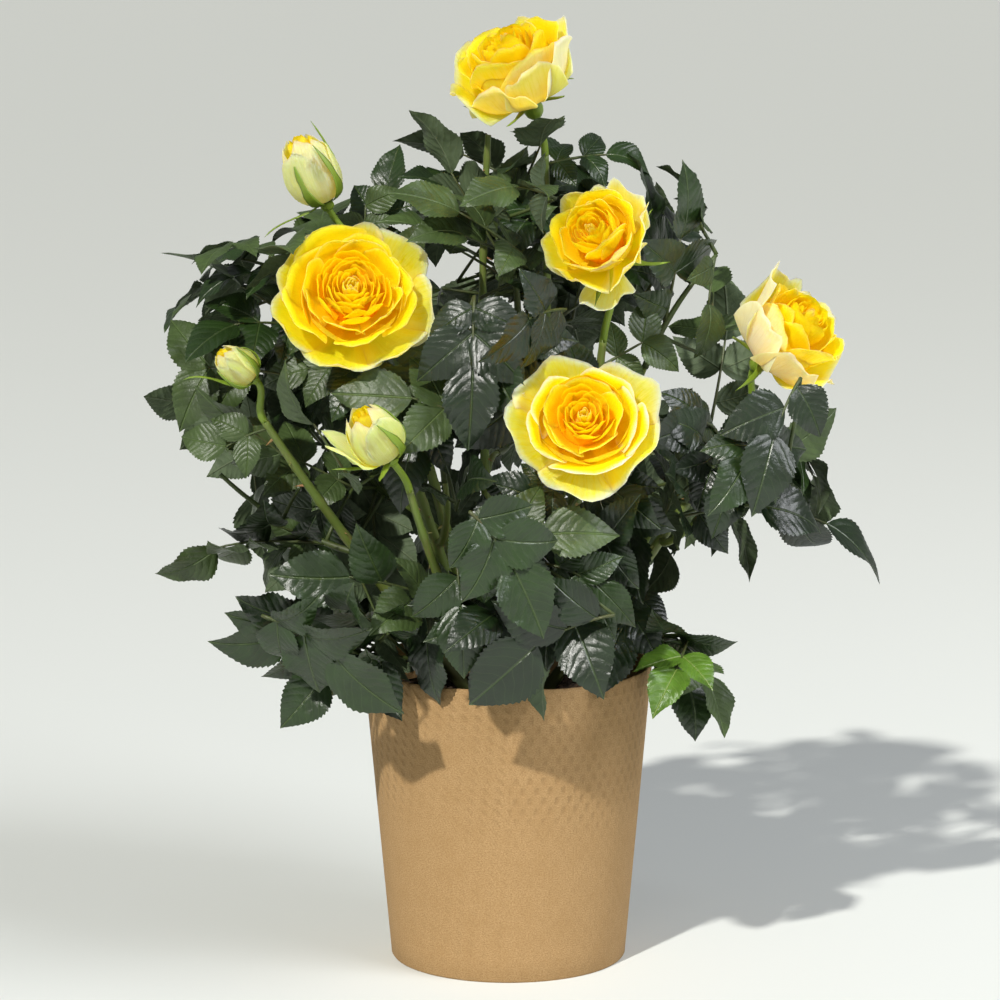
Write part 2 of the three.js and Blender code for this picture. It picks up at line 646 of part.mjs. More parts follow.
const root = new THREE.Group();
const finish = (color, roughness) => new THREE.MeshStandardMaterial({ color, roughness, metalness: 0 });
const KRAFT = finish(0xc39a63, 0.85);
const PEAT = finish(0x2a211a, 0.95);
const GREEN_BARK = finish(0x6f8a3c, 0.5);
const GREEN_LEAF = finish(0x24401f, 0.35);
const YELLOW_PETAL = finish(0xf7d21c, 0.55);
const CREAM_PETAL = finish(0xe6e7a8, 0.55);
function add(name, geometry, material) {
  const mesh = new THREE.Mesh(geometry, material);
  mesh.name = name;
  root.add(mesh);
}
add("pot", turned(potOutline, POT.sides), KRAFT);
add("soil", turned(soilOutline, POT.sides / 2), PEAT);
for (const [name, l] of Object.entries(limbs)) add(name, l.geometry, GREEN_BARK);
for (const [name, g] of Object.entries(heads)) {
  add(name, g, name.startsWith("bud") ? CREAM_PETAL : YELLOW_PETAL);
}
Object.entries(MASSES).forEach(([name, m], i) => {
  add(name, joined(foliage(m, 11 + 101 * i)), GREEN_LEAF);
});

export default root;
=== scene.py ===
# A rose bush in flower, in a tapered pot of kraft card.
# Shapes are worked out in millimetres, and every mesh is made in metres.
import math

import bpy
import numpy as np
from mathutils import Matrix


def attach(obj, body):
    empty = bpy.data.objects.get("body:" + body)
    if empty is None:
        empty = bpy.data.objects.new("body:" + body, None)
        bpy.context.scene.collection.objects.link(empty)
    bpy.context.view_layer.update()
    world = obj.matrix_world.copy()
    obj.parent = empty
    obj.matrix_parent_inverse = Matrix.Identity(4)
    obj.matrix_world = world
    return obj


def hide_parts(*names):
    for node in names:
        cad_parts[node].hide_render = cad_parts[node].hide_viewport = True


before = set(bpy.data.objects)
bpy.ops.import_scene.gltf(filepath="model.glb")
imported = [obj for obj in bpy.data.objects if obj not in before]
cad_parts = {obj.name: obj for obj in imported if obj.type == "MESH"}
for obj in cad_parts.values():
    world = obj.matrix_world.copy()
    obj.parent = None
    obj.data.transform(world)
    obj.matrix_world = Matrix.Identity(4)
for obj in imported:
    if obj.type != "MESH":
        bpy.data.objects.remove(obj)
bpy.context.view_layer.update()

# Camera, floor and light. The plant stands on a wide pale floor, in sunlight from the upper left in
# front and the soft light of a bright room. A long lens looks slightly down on it.
scene = bpy.context.scene
scene.view_settings.view_transform = "Standard"
lens = bpy.data.cameras.new("lens")
lens.sensor_width = 36
lens.lens = 126.54
lens.clip_end = 200
camera = bpy.data.objects.new("camera", lens)
camera.location = (-0.00379, -1.554, 0.442)
camera.rotation_euler = (math.radians(90 - 8.58), 0, 0)
scene.collection.objects.link(camera)
scene.camera = camera


def node(finish, kind, *sources, **values):
    """A node of a finish or of the sky. Its sources are linked in order, and None skips a socket"""
    tree = finish.node_tree
    made = tree.nodes.new(kind)
    inputs = values.pop("inputs", {})
    for key, value in values.items():
        setattr(made, key, value)
    for key, value in inputs.items():
        made.inputs[key].default_value = value
    for socket, source in enumerate(sources):
        if source is not None:
            tree.links.new(source, made.inputs[socket])
    return made


def blended(finish, share, first, second):
    """A colour between two, by a share"""
    made = node(finish, "ShaderNodeMix", data_type="RGBA")
    finish.node_tree.links.new(share, made.inputs["Factor"])
    for socket, colour in (("A", first), ("B", second)):
        slot = [s for s in made.inputs if s.name == socket and s.type == "RGBA"][0]
        if isinstance(colour, tuple):
            slot.default_value = (*colour, 1)
        else:
            finish.node_tree.links.new(colour, slot)
    return [s for s in made.outputs if s.type == "RGBA"][0]


HORIZON = (0.66, 0.68, 0.64)
LOW_SKY = (0.31, 0.325, 0.31)
HIGH_SKY = (0.13, 0.135, 0.15)
room = bpy.data.worlds.new("room")
room.use_nodes = True
all_round = node(room, "ShaderNodeTexCoord").outputs["Generated"]
upward = node(room, "ShaderNodeSeparateXYZ", all_round).outputs[2]
to_high_sky = node(room, "ShaderNodeMapRange", upward, inputs={"From Max": 0.75})
past_haze = node(room, "ShaderNodeMapRange", upward, inputs={"From Max": 0.08})
clear_sky = blended(room, to_high_sky.outputs[0], LOW_SKY, HIGH_SKY)
sky = blended(room, past_haze.outputs[0], HORIZON, clear_sky)
room.node_tree.links.new(sky, room.node_tree.nodes["Background"].inputs["Color"])
scene.world = room


def lamp(name, kind, place, aim, power, colour):
    """A light at a place, turned towards the point that it lights"""
    light = bpy.data.lights.new(name, kind)
    light.energy = power
    light.color = colour
    made = bpy.data.objects.new(name, light)
    made.location = place
    way = np.array(aim) - np.array(place)
    flat = math.hypot(way[0], way[1])
    made.rotation_euler = (math.atan2(flat, -way[2]), 0, math.atan2(way[1], way[0]) - math.pi / 2)
    scene.collection.objects.link(made)
    return light


sun = lamp("sun", "SUN", (-0.85, -1.6, 1.75), (0, 0, 0.2), 3.35, (1.0, 0.975, 0.93))
sun.angle = 0.035
window = lamp("window", "AREA", (1.5, -1.0, 1.8), (0, 0, 0.25), 40, (0.94, 0.95, 1.0))
window.size = 1.2


def material(name, colour, roughness, **sockets):
    """A finish: one shader, with what is the same all over set on its own sockets"""
    made = bpy.data.materials.new(name)
    made.use_nodes = True
    made.diffuse_color = (*colour, 1)
    shader = made.node_tree.nodes["Principled BSDF"]
    shader.inputs["Base Color"].default_value = (*colour, 1)
    shader.inputs["Roughness"].default_value = roughness
    for socket, value in sockets.items():
        shader.inputs[socket.replace("_", " ")].default_value = value
    return made


pale_floor = material("pale_floor", (0.73, 0.755, 0.72), 0.8, Specular_IOR_Level=0.2)
floor_mesh = bpy.data.meshes.new("floor")
floor_mesh.from_pydata([(-60, -60, 0), (60, -60, 0), (60, 60, 0), (-60, 60, 0)], [], [(0, 1, 2, 3)])
floor_mesh.materials.append(pale_floor)
floor = bpy.data.objects.new("floor", floor_mesh)
scene.collection.objects.link(floor)

# Pot. A tapered round cover of brown kraft card, about a millimetre thick, rolled from one strip and
# pressed with a faint pattern of dimples. Its cut upper edge is slightly wavy, and it overlaps behind.
CLEAR = 0.3
POT = {"base": 53.0, "rim": 65.0, "height": 134.0, "wall": 1.2, "floor": 3.0}
SOIL_TOP = 118.0


def sum_of(finish, operation, *terms):
    """A Math node on sockets and plain numbers"""
    made = node(finish, "ShaderNodeMath", operation=operation)
    for socket, term in enumerate(terms):
        if isinstance(term, (int, float)):
            made.inputs[socket].default_value = term
        else:
            finish.node_tree.links.new(term, made.inputs[socket])
    return made.outputs[0]


def ramp(finish, source, low, high):
    """A share that goes smoothly from 0 at low to 1 at high"""
    made = node(finish, "ShaderNodeMapRange", source, interpolation_type="SMOOTHSTEP")
    made.inputs["From Min"].default_value = low
    made.inputs["From Max"].default_value = high
    return made.outputs[0]


def noise(finish, place, scale, detail=2.0, roughness=0.5):
    """Cloudy noise over a place"""
    made = node(finish, "ShaderNodeTexNoise")
    made.inputs["Scale"].default_value = scale
    made.inputs["Detail"].default_value = detail
    made.inputs["Roughness"].default_value = roughness
    finish.node_tree.links.new(place, made.inputs["Vector"])
    return made.outputs[0]


def link(finish, source, socket):
    finish.node_tree.links.new(source, finish.node_tree.nodes["Principled BSDF"].inputs[socket])


def relief(finish, height, strength, depth):
    """Fine relief from a height, its depth in metres"""
    bump = node(finish, "ShaderNodeBump")
    bump.inputs["Strength"].default_value = strength
    bump.inputs["Distance"].default_value = depth
    finish.node_tree.links.new(height, bump.inputs["Height"])
    link(finish, bump.outputs[0], "Normal")


def object_place(finish):
    return node(finish, "ShaderNodeTexCoord").outputs["Object"]


def uv_place(finish):
    return node(finish, "ShaderNodeTexCoord").outputs["UV"]


class Gathered:
    """Points and faces of many shapes, in millimetres, joined into one mesh"""

    def __init__(self):
        self.points, self.corners, self.sizes = [], [], []
        self.slots, self.places, self.tints = [], [], []
        self.count = 0

    def add(self, points, faces, uv=None, slots=0, tint=None):
        points = np.asarray(points, float)
        sizes = np.array([len(face) for face in faces])
        self.points.append(points)
        self.corners.append(np.concatenate(faces) + self.count)
        self.sizes.append(sizes)
        self.slots.append(np.broadcast_to(slots, len(sizes)))
        self.places.append(np.zeros((len(points), 2)) if uv is None else uv)
        self.tints.append(np.ones((len(points), 3)) if tint is None else tint)
        self.count += len(points)

    def mesh(self, name, materials):
        """One mesh with smooth faces, and an edge where two finishes meet kept sharp"""
        made = bpy.data.meshes.new(name)
        corners = np.concatenate(self.corners).astype(np.int32)
        sizes = np.concatenate(self.sizes).astype(np.int32)
        slots = np.concatenate(self.slots).astype(np.int32)
        made.vertices.add(self.count)
        made.vertices.foreach_set("co", (np.concatenate(self.points) * 0.001).ravel())
        made.loops.add(len(corners))
        made.loops.foreach_set("vertex_index", corners)
        made.polygons.add(len(sizes))
        made.polygons.foreach_set("loop_start", np.cumsum(sizes) - sizes)
        made.polygons.foreach_set("material_index", slots)
        made.update(calc_edges=True)
        made.validate()
        made.polygons.foreach_set("use_smooth", np.ones(len(sizes), bool))
        edges = np.empty(len(corners), np.int32)
        made.loops.foreach_get("edge_index", edges)
        slot_of = np.repeat(slots, sizes)
        low, high = np.full(len(made.edges), 99), np.full(len(made.edges), -1)
        np.minimum.at(low, edges, slot_of)
        np.maximum.at(high, edges, slot_of)
        made.edges.foreach_set("use_edge_sharp", low != high)
        uv = made.uv_layers.new(name="UVMap")
        uv.data.foreach_set("uv", np.concatenate(self.places)[corners].ravel())
        tint = made.color_attributes.new("tint", "FLOAT_COLOR", "POINT")
        colours = np.ones((self.count, 4))
        colours[:, :3] = np.concatenate(self.tints)
        tint.data.foreach_set("color", colours.ravel())
        for finish in materials:
            made.materials.append(finish)
        return made


def piece(made, slot, *nodes):
    """A finished piece of the plant: it rides on the one body and stands for the nodes it replaces"""
    shown = bpy.data.objects.new(made.name, made)
    scene.collection.objects.link(shown)
    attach(shown, "root")
    if nodes:
        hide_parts(*nodes)


def turned(profile, sides, wave=None):
    """A closed surface turned about the upright axis from a profile of radius and height that
    starts and ends on the axis. UV runs round and along it, in millimetres."""
    profile = np.array(profile, float)
    turn = np.arange(sides + 1) * 2 * math.pi / sides
    run = np.concatenate([[0], np.cumsum(np.linalg.norm(np.diff(profile, axis=0), axis=1))])
    inner = profile[1:-1]
    radius = inner[:, :1] * np.ones(sides + 1)
    height = inner[:, 1:] * np.ones(sides + 1)
    if wave is not None:
        radius, height = wave(radius, height, turn)
    grid = np.stack([radius * np.sin(turn), -radius * np.cos(turn), height], 2).reshape(-1, 3)
    uv = np.stack([inner[:, :1] * turn, run[1:-1, None] * np.ones(sides + 1)], 2).reshape(-1, 2)
    points = np.vstack([grid, [0, 0, profile[0, 1]], [0, 0, profile[-1, 1]]])
    uv = np.vstack([uv, [0, 0], [0, run[-1]]])
    wide, rows = sides + 1, len(inner)
    faces = [
        (r * wide + i, r * wide + i + 1, (r + 1) * wide + i + 1, (r + 1) * wide + i)
        for r in range(rows - 1)
        for i in range(sides)
    ]
    first, last = len(points) - 2, len(points) - 1
    faces += [(first, i + 1, i) for i in range(sides)]
    top = (rows - 1) * wide
    faces += [(last, top + i, top + i + 1) for i in range(sides)]
    return points, faces, uv


def wall_at(z):
    return POT["base"] + (POT["rim"] - POT["base"]) * z / POT["height"]


kraft = material("kraft_card", (0.45, 0.28, 0.125), 0.82, Specular_IOR_Level=0.25)
place = uv_place(kraft)
fibre_map = node(kraft, "ShaderNodeMapping", place, inputs={"Scale": (1.3, 1.9, 1)})
fibres = noise(kraft, fibre_map.outputs[0], 1.0, 6, 0.8)
clouds = noise(kraft, object_place(kraft), 130, 4, 0.6)
flecks = noise(kraft, place, 2.4, 3, 0.7)
warm = blended(kraft, ramp(kraft, fibres, 0.36, 0.64), (0.29, 0.17, 0.066), (0.485, 0.315, 0.15))
mottle = sum_of(kraft, "MULTIPLY", ramp(kraft, clouds, 0.35, 0.75), 0.4)
patchy = blended(kraft, mottle, warm, (0.335, 0.20, 0.08))
speckle = sum_of(kraft, "MULTIPLY", ramp(kraft, flecks, 0.6, 0.74), 0.6)
speckled = blended(kraft, speckle, patchy, (0.27, 0.152, 0.06))
across_pot = node(kraft, "ShaderNodeSeparateXYZ", place)
rings = sum_of(kraft, "COSINE", sum_of(kraft, "MULTIPLY", across_pot.outputs[0], 2 * math.pi / 6.2))
rows = sum_of(kraft, "COSINE", sum_of(kraft, "MULTIPLY", across_pot.outputs[1], 2 * math.pi / 9.4))
dimples = ramp(kraft, sum_of(kraft, "MULTIPLY", rings, rows), -0.1, 1.0)
upright = node(kraft, "ShaderNodeSeparateXYZ", object_place(kraft)).outputs[2]
deep = sum_of(kraft, "ADD", sum_of(kraft, "MULTIPLY", ramp(kraft, upright, 0.06, 0.09), 1.0), 0.3)
worn = ramp(kraft, noise(kraft, object_place(kraft), 13, 1), 0.2, 0.5)
pressed = sum_of(kraft, "MULTIPLY", dimples, sum_of(kraft, "MULTIPLY", deep, worn))
# The dimples are darkened with painted shade, more in the upper part of the wall where the mask above
# presses them deeper
dimple_painted_shade = sum_of(kraft, "MULTIPLY", pressed, 0.26)
link(kraft, blended(kraft, dimple_painted_shade, speckled, (0.24, 0.14, 0.055)), "Base Color")
relief(kraft, sum_of(kraft, "SUBTRACT", sum_of(kraft, "MULTIPLY", fibres, 0.04), pressed), 0.8, 0.0003)


def out_of_round(up, turn):
    """How far the wall stands out of round, at a share of its height"""
    return 0.35 * up * np.sin(3 * turn + 0.6) + 0.15 * up * np.sin(8 * turn)


def pot_wave(radius, height, turn):
    """The card's upper edge rises and falls a little, and the wall isn't quite round"""
    up = np.clip(height / POT["height"], 0, 1)
    height = height + 0.28 * up**8 * np.sin(5 * turn + 1.0) + 0.12 * up**8 * np.sin(13 * turn)
    return radius + out_of_round(up, turn), height


heights = np.linspace(0.8, POT["height"] - 0.5, 14)
outside = [(wall_at(z), z) for z in heights]
inside = [(wall_at(z) - POT["wall"], z) for z in heights[::-1]]
edge = [(wall_at(POT["height"]) - 0.25, POT["height"]), (wall_at(POT["height"]) - 0.95, POT["height"])]
pot_profile = [(0, 0.9), (POT["base"] - 4, 0.9), (POT["base"] - 2.5, 0), (POT["base"] - 0.5, 0)]
pot_profile += outside + edge + inside + [(wall_at(3) - POT["wall"], POT["floor"]), (0, POT["floor"])]
card = Gathered()
card.add(*turned(pot_profile, 144, pot_wave))


def lap_strip():
    """The overlap behind: a narrow strip of the same card, glued down the wall"""
    rows, cols, half_turn, sunk = 15, 7, 0.13, 0.4
    lift = np.array([0.1, 0.75, 0.85, 0.85, 0.8, 0.5, 0.1])
    z = np.linspace(0.6, POT["height"] - 0.4, rows)
    turn = math.pi + np.linspace(-half_turn, half_turn, cols)
    round_wall = wall_at(z)[:, None] + out_of_round(z[:, None] / POT["height"], turn)
    grids = []
    for shift in (lift, np.full(cols, -sunk)):
        r = round_wall + shift
        grids.append(np.stack([r * np.sin(turn), -r * np.cos(turn), z[:, None] * np.ones(cols)], 2))
    points = np.concatenate([g.reshape(-1, 3) for g in grids])
    below, last = rows * cols, (rows - 1) * cols
    faces = []
    for a in (i * cols + j for i in range(rows - 1) for j in range(cols - 1)):
        faces.append((a, a + 1, a + cols + 1, a + cols))
        faces.append((a + below, a + below + cols, a + below + cols + 1, a + below + 1))
    edges = [(a, a + cols) for a in range(0, last, cols)]
    edges += [(a + 2 * cols - 1, a + cols - 1) for a in range(0, last, cols)]
    edges += [(j + 1, j) for j in range(cols - 1)]
    edges += [(last + j, last + j + 1) for j in range(cols - 1)]
    faces += [(a, b, b + below, a + below) for a, b in edges]
    uv = np.stack([np.tile(turn * 60, 2 * rows), np.tile(np.repeat(z, cols), 2)], 1)
    return points, faces, uv


card.add(*lap_strip())
piece(card.mesh("kraft_pot", [kraft]), "kraft_card", "pot")

# Soil. Dark moist peat fills the pot to a little below its edge. Its top rolls gently, and loose
# crumbs and bits of bark lie strewn over it.
peat = material("peat", (0.035, 0.024, 0.017), 0.95, Specular_IOR_Level=0.2)
place = object_place(peat)
damp = ramp(peat, noise(peat, place, 160, 4), 0.35, 0.7)
link(peat, blended(peat, damp, (0.02, 0.014, 0.01), (0.07, 0.045, 0.028)), "Base Color")
relief(peat, noise(peat, place, 420, 5, 0.7), 0.9, 0.0008)
SOIL_RADIUS = wall_at(SOIL_TOP) - POT["wall"] - CLEAR


def soil_wave(radius, height, turn):
    """The top rolls gently, and stays within the pot"""
    flat = height > SOIL_TOP - 1
    roll = 0.8 * np.sin(radius * 0.22 + 2 * turn) + 0.6 * np.sin(radius * 0.13 - 3 * turn)
    return radius, np.where(flat, height + roll - 1.2, height)


soil_base = POT["floor"] + CLEAR
soil_profile = [(0, soil_base), (wall_at(soil_base) - POT["wall"] - CLEAR, soil_base)]
soil_profile += [(wall_at(z) - POT["wall"] - CLEAR, z) for z in (40, 80, 112)]
soil_profile += [(SOIL_RADIUS - 0.4, SOIL_TOP)]
soil_profile += [(SOIL_RADIUS * share, SOIL_TOP) for share in (0.92, 0.8, 0.66, 0.5, 0.34, 0.18, 0.06)]
soil_profile += [(0, SOIL_TOP - 1.2)]
ground = Gathered()
ground.add(*turned(soil_profile, 72, soil_wave))
piece(ground.mesh("peat_soil", [peat]), "peat", "soil")


def tree(name, *inputs):
    """An empty Geometry Nodes tree with a geometry in, named inputs, and a geometry out"""
    made = bpy.data.node_groups.new(name, "GeometryNodeTree")
    made.interface.new_socket("Geometry", in_out="INPUT", socket_type="NodeSocketGeometry")
    for title, kind in inputs:
        made.interface.new_socket(title, in_out="INPUT", socket_type="NodeSocket" + kind)
    made.interface.new_socket("Geometry", in_out="OUTPUT", socket_type="NodeSocketGeometry")
    return made, made.nodes.new("NodeGroupInput"), made.nodes.new("NodeGroupOutput")


def grown_mesh(made, group, **values):
    """The mesh that a Geometry Nodes tree grows from another, as a plain mesh"""
    holder = bpy.data.objects.new(made.name, made)
    scene.collection.objects.link(holder)
    modifier = holder.modifiers.new("grow", "NODES")
    modifier.node_group = group
    for item in group.interface.items_tree:
        key = item.name.lower().replace(" ", "_")
        if item.in_out == "INPUT" and key in values:
            modifier[item.identifier] = values[key]
    graph = bpy.context.evaluated_depsgraph_get()
    result = bpy.data.meshes.new_from_object(holder.evaluated_get(graph))
    holder.modifiers.clear()
    bpy.data.objects.remove(holder)
    return result


def by_chance(group, low, high, seed=None):
    """A random number or vector between two bounds, for each point of a tree"""
    made = group.nodes.new("FunctionNodeRandomValue")
    made.data_type = "FLOAT_VECTOR" if isinstance(low, tuple) else "FLOAT"
    first = 0 if isinstance(low, tuple) else 2
    made.inputs[first].default_value = low
    made.inputs[first + 1].default_value = high
    if seed is not None:
        group.links.new(seed, made.inputs["Seed"])
    return made.outputs[0 if isinstance(low, tuple) else 1]


def set_on_points(group, given, out, **sources):
    """The end of a tree: a shape on each point, turned and sized, made real and given its finish"""
    add, join = group.nodes.new, group.links.new
    placed = add("GeometryNodeInstanceOnPoints")
    real = add("GeometryNodeRealizeInstances")
    finish = add("GeometryNodeSetMaterial")
    for socket, source in sources.items():
        join(source, placed.inputs[socket])
    join(placed.outputs[0], real.inputs[0])
    join(real.outputs[0], finish.inputs["Geometry"])
    join(given.outputs["Finish"], finish.inputs["Material"])
    join(finish.outputs[0], out.inputs[0])


def crumb_tree():
    """Crumbs strewn on a face: small rough lumps, each turned and sized by chance"""
    group, given, out = tree(
        "strewn_crumbs", ("Density", "Float"), ("Size", "Float"), ("Seed", "Int"), ("Finish", "Material")
    )
    add, join = group.nodes.new, group.links.new
    strewn = add("GeometryNodeDistributePointsOnFaces")
    lump = add("GeometryNodeMeshIcoSphere")
    lump.inputs["Subdivisions"].default_value = 1
    join(given.outputs["Geometry"], strewn.inputs["Mesh"])
    join(given.outputs["Density"], strewn.inputs["Density"])
    join(given.outputs["Seed"], strewn.inputs["Seed"])
    join(given.outputs["Size"], lump.inputs["Radius"])
    set_on_points(
        group, given, out, Points=strewn.outputs["Points"], Instance=lump.outputs["Mesh"],
        Rotation=by_chance(group, (0, 0, 0), (6.28, 6.28, 6.28)),
        Scale=by_chance(group, (0.35, 0.35, 0.3), (1.6, 1.0, 0.9)),
    )
    return group


bed = bpy.data.meshes.new("crumbs")
bed_sides, bed_radius = 32, (SOIL_RADIUS - 3) / 1000
turn = np.linspace(0, 2 * math.pi, bed_sides + 1)[:-1]
ring = [(math.cos(a) * bed_radius, math.sin(a) * bed_radius, (SOIL_TOP - 1) / 1000) for a in turn]
bed.from_pydata(ring, [], [tuple(range(bed_sides))])
crumbs = grown_mesh(bed, crumb_tree(), density=90000.0, size=0.0016, seed=4, finish=peat)
crumbs.name = "peat_crumbs"
piece(crumbs, "peat")

# Canes and boughs. Green rose canes rise from the soil, browner at the foot, with a slight swelling
# at each leaf scar and slim prickles. The side boughs leave them at a slant. One cane has been cut.
UP = np.array([0.0, 0.0, 1.0])
CANE_SIDES = 14


class Bend:
    """A smooth curve of three or four control points. Shares of its length run from 0 to 1."""

    def __init__(self, *controls):
        self.controls = np.array(controls, float)
        self.steps = np.arange(201) / 200
        run = np.linalg.norm(np.diff(self.point(self.steps), axis=0), axis=1)
        self.run = np.concatenate([[0], np.cumsum(run)])
        self.length = self.run[-1]

    def point(self, t):
        t = np.asarray(t, float)[..., None]
        k = 1 - t
        c = self.controls
        if len(c) == 3:
            return k * k * c[0] + 2 * k * t * c[1] + t * t * c[2]
        return k**3 * c[0] + 3 * k * k * t * c[1] + 3 * k * t * t * c[2] + t**3 * c[3]

    def step_at(self, share):
        return np.interp(np.asarray(share) * self.length, self.run, self.steps)

    def at(self, share):
        return self.point(self.step_at(share))

    def tangent(self, share):
        t = self.step_at(share)
        return unit(self.point(np.minimum(1, t + 0.0001)) - self.point(np.maximum(0, t - 0.0001)))


def unit(v):
    return v / np.linalg.norm(v, axis=-1, keepdims=True)


def square_to(v, axis):
    """A way turned square to an axis"""
    return unit(v - axis * np.sum(v * axis, -1, keepdims=True))


def tube(path, radii, sides):
    """A closed round tube along a path of points, carried along it with no twist. UV is round it in
    millimetres and along it in millimetres."""
    path = np.asarray(path, float)
    tangents = unit(np.gradient(path, axis=0))
    side = square_to(np.array([1.0, 0.02, 0.01]) if abs(tangents[0][0]) < 0.9 else UP, tangents[0])
    turn = np.arange(sides) * 2 * math.pi / sides
    cos, sin = np.cos(turn)[:, None], np.sin(turn)[:, None]
    rings, uv, run = [], [], 0.0
    for i, (p, t, r) in enumerate(zip(path, tangents, radii)):
        side = square_to(side, t)
        rings.append(p + np.asarray(r)[..., None] * (cos * side + sin * np.cross(t, side)))
        if i:
            run += np.linalg.norm(p - path[i - 1])
        uv.append(np.stack([turn * 3, np.full(sides, run)], 1))
    faces = []
    for i in range(len(path) - 1):
        a = i * sides
        for j in range(sides):
            k = (j + 1) % sides
            faces.append((a + j, a + k, a + sides + k, a + sides + j))
    faces.append(tuple(range(sides))[::-1])
    last = (len(path) - 1) * sides
    faces.append(tuple(range(last, last + sides)))
    return np.concatenate(rings), faces, np.concatenate(uv)


def stem_finish(name, colour, aged, rough):
    """Green bark: smooth, waxy, streaked along its length, and browner where it is old"""
    made = material(name, colour, rough, Specular_IOR_Level=0.5, Subsurface_Weight=0.05)
    shader = made.node_tree.nodes["Principled BSDF"]
    shader.inputs["Subsurface Radius"].default_value = (0.002, 0.003, 0.001)
    place = object_place(made)
    streak = node(made, "ShaderNodeMapping", uv_place(made), inputs={"Scale": (1.6, 0.12, 1)})
    streaks = noise(made, streak.outputs[0], 1.0, 4, 0.6)
    patches = noise(made, place, 70, 3)
    share = sum_of(made, "MULTIPLY", ramp(made, streaks, 0.4, 0.75), ramp(made, patches, 0.35, 0.7))
    link(made, blended(made, share, colour, aged), "Base Color")
    relief(made, sum_of(made, "ADD", streaks, patches), 0.35, 0.00025)
    return made


green_bark = stem_finish("green_bark", (0.13, 0.19, 0.032), (0.21, 0.15, 0.055), 0.45)
old_bark = stem_finish("old_bark", (0.10, 0.12, 0.035), (0.15, 0.095, 0.045), 0.6)
fresh_green = stem_finish("fresh_green", (0.18, 0.28, 0.022), (0.24, 0.27, 0.04), 0.4)
pith = material("cut_pith", (0.42, 0.36, 0.22), 0.8)
relief(pith, noise(pith, object_place(pith), 900, 3), 0.5, 0.0003)

CANES = {
    "cane_top": ([7, 3], [20, 4, 255], [16, -1, 362], [3.0, 2.2]),
    "cane_cut": ([-4, 9], [-16, 8, 255], [-9, 2, 370], [2.8, 1.8]),
    "cane_upper_left": ([-13, 4], [-34, 4, 240], [-68, -12, 322], [3.0, 2.0]),
    "cane_left": ([-8, -6], [-42, -14, 215], [-58, -24, 278], [3.2, 2.2]),
    "cane_left_low": ([-17, -5], [-70, -30, 190], [-106, -48, 250], [3.2, 2.2]),
    "cane_front_left": ([-6, -17], [-30, -80, 180], [-42, -92, 226], [3.0, 2.1]),
    "cane_front": ([5, -15], [24, -62, 195], [30, -72, 236], [3.2, 2.2]),
    "cane_centre_right": ([12, -5], [36, -20, 230], [41, -38, 284], [3.0, 2.2]),
    "cane_right": ([17, 4], [78, -2, 200], [106, -12, 250], [3.2, 2.2]),
}
LIMBS = {}
for name, (foot, via, tip, radii) in CANES.items():
    foot = np.array([*foot, SOIL_TOP + CLEAR])
    lean = unit(np.array(via) - foot)
    foot[2] += radii[0] * math.hypot(lean[0], lean[1])
    LIMBS[name] = (Bend(foot, via, tip), *radii)


def knotted(curve, r0, r1, rng, spacing=21.0):
    """Radii along a cane: its taper, and a swelling at each leaf scar"""
    count = max(10, int(curve.length / 3.2))
    share = np.linspace(0, 1, count + 1)
    radius = r0 + (r1 - r0) * share
    along = share * curve.length
    scars = np.arange(8 + 6 * rng.random(), curve.length - 6, spacing) + rng.uniform(-4, 4)
    for scar in scars:
        radius = radius + 0.42 * np.exp(-(((along - scar) / 2.0) ** 2)) * r0 / 3
    turn = np.arange(CANE_SIDES) * 2 * math.pi / CANE_SIDES
    ribbed = radius[:, None] * (1 + 0.03 * np.cos(5 * turn + 0.02 * along[:, None]))
    return share, ribbed * (0.96 - 0.2 * share[:, None])


rng = np.random.default_rng(7)
for name, (curve, r0, r1) in LIMBS.items():
    share, radii = knotted(curve, r0, r1, rng)
    path = curve.at(share)
    bark = Gathered()
    points, faces, uv = tube(path, radii, CANE_SIDES)
    slots = np.zeros(len(faces), int)
    low = np.repeat(path[:-1, 2] < SOIL_TOP + 26, CANE_SIDES)
    slots[:-2][low] = 1
    if name == "cane_cut":
        slots[-1] = 2
    bark.add(points, faces, uv, slots)
    piece(bark.mesh("bark_" + name, [green_bark, old_bark, pith]), "green_bark", name)


def prickle_tree():
    """Prickles along canes: a slim cone at each point of the path, turned by chance"""
    group, given, out = tree(
        "cane_prickles", ("Spacing", "Float"), ("Length", "Float"), ("Seed", "Int"), ("Finish", "Material")
    )
    add, join = group.nodes.new, group.links.new
    curve = add("GeometryNodeMeshToCurve")
    spaced = add("GeometryNodeResampleCurve")
    spaced.mode = "LENGTH"
    thorn = add("GeometryNodeMeshCone")
    thorn.inputs["Vertices"].default_value = 6
    thorn.inputs["Side Segments"].default_value = 2
    thorn.inputs["Radius Bottom"].default_value = 0.0011
    thorn.inputs["Radius Top"].default_value = 0.00006
    facing = add("FunctionNodeAlignEulerToVector")
    facing.axis = "Z"
    seed = given.outputs["Seed"]
    join(given.outputs["Geometry"], curve.inputs[0])
    join(curve.outputs[0], spaced.inputs["Curve"])
    join(given.outputs["Spacing"], spaced.inputs["Length"])
    join(given.outputs["Length"], thorn.inputs["Depth"])
    join(by_chance(group, (-1, -1, -0.35), (1, 1, -0.05), seed), facing.inputs["Vector"])
    set_on_points(
        group, given, out, Points=spaced.outputs[0], Instance=thorn.outputs["Mesh"],
        Rotation=facing.outputs[0], Scale=by_chance(group, 0.55, 1.0, seed),
    )
    return group


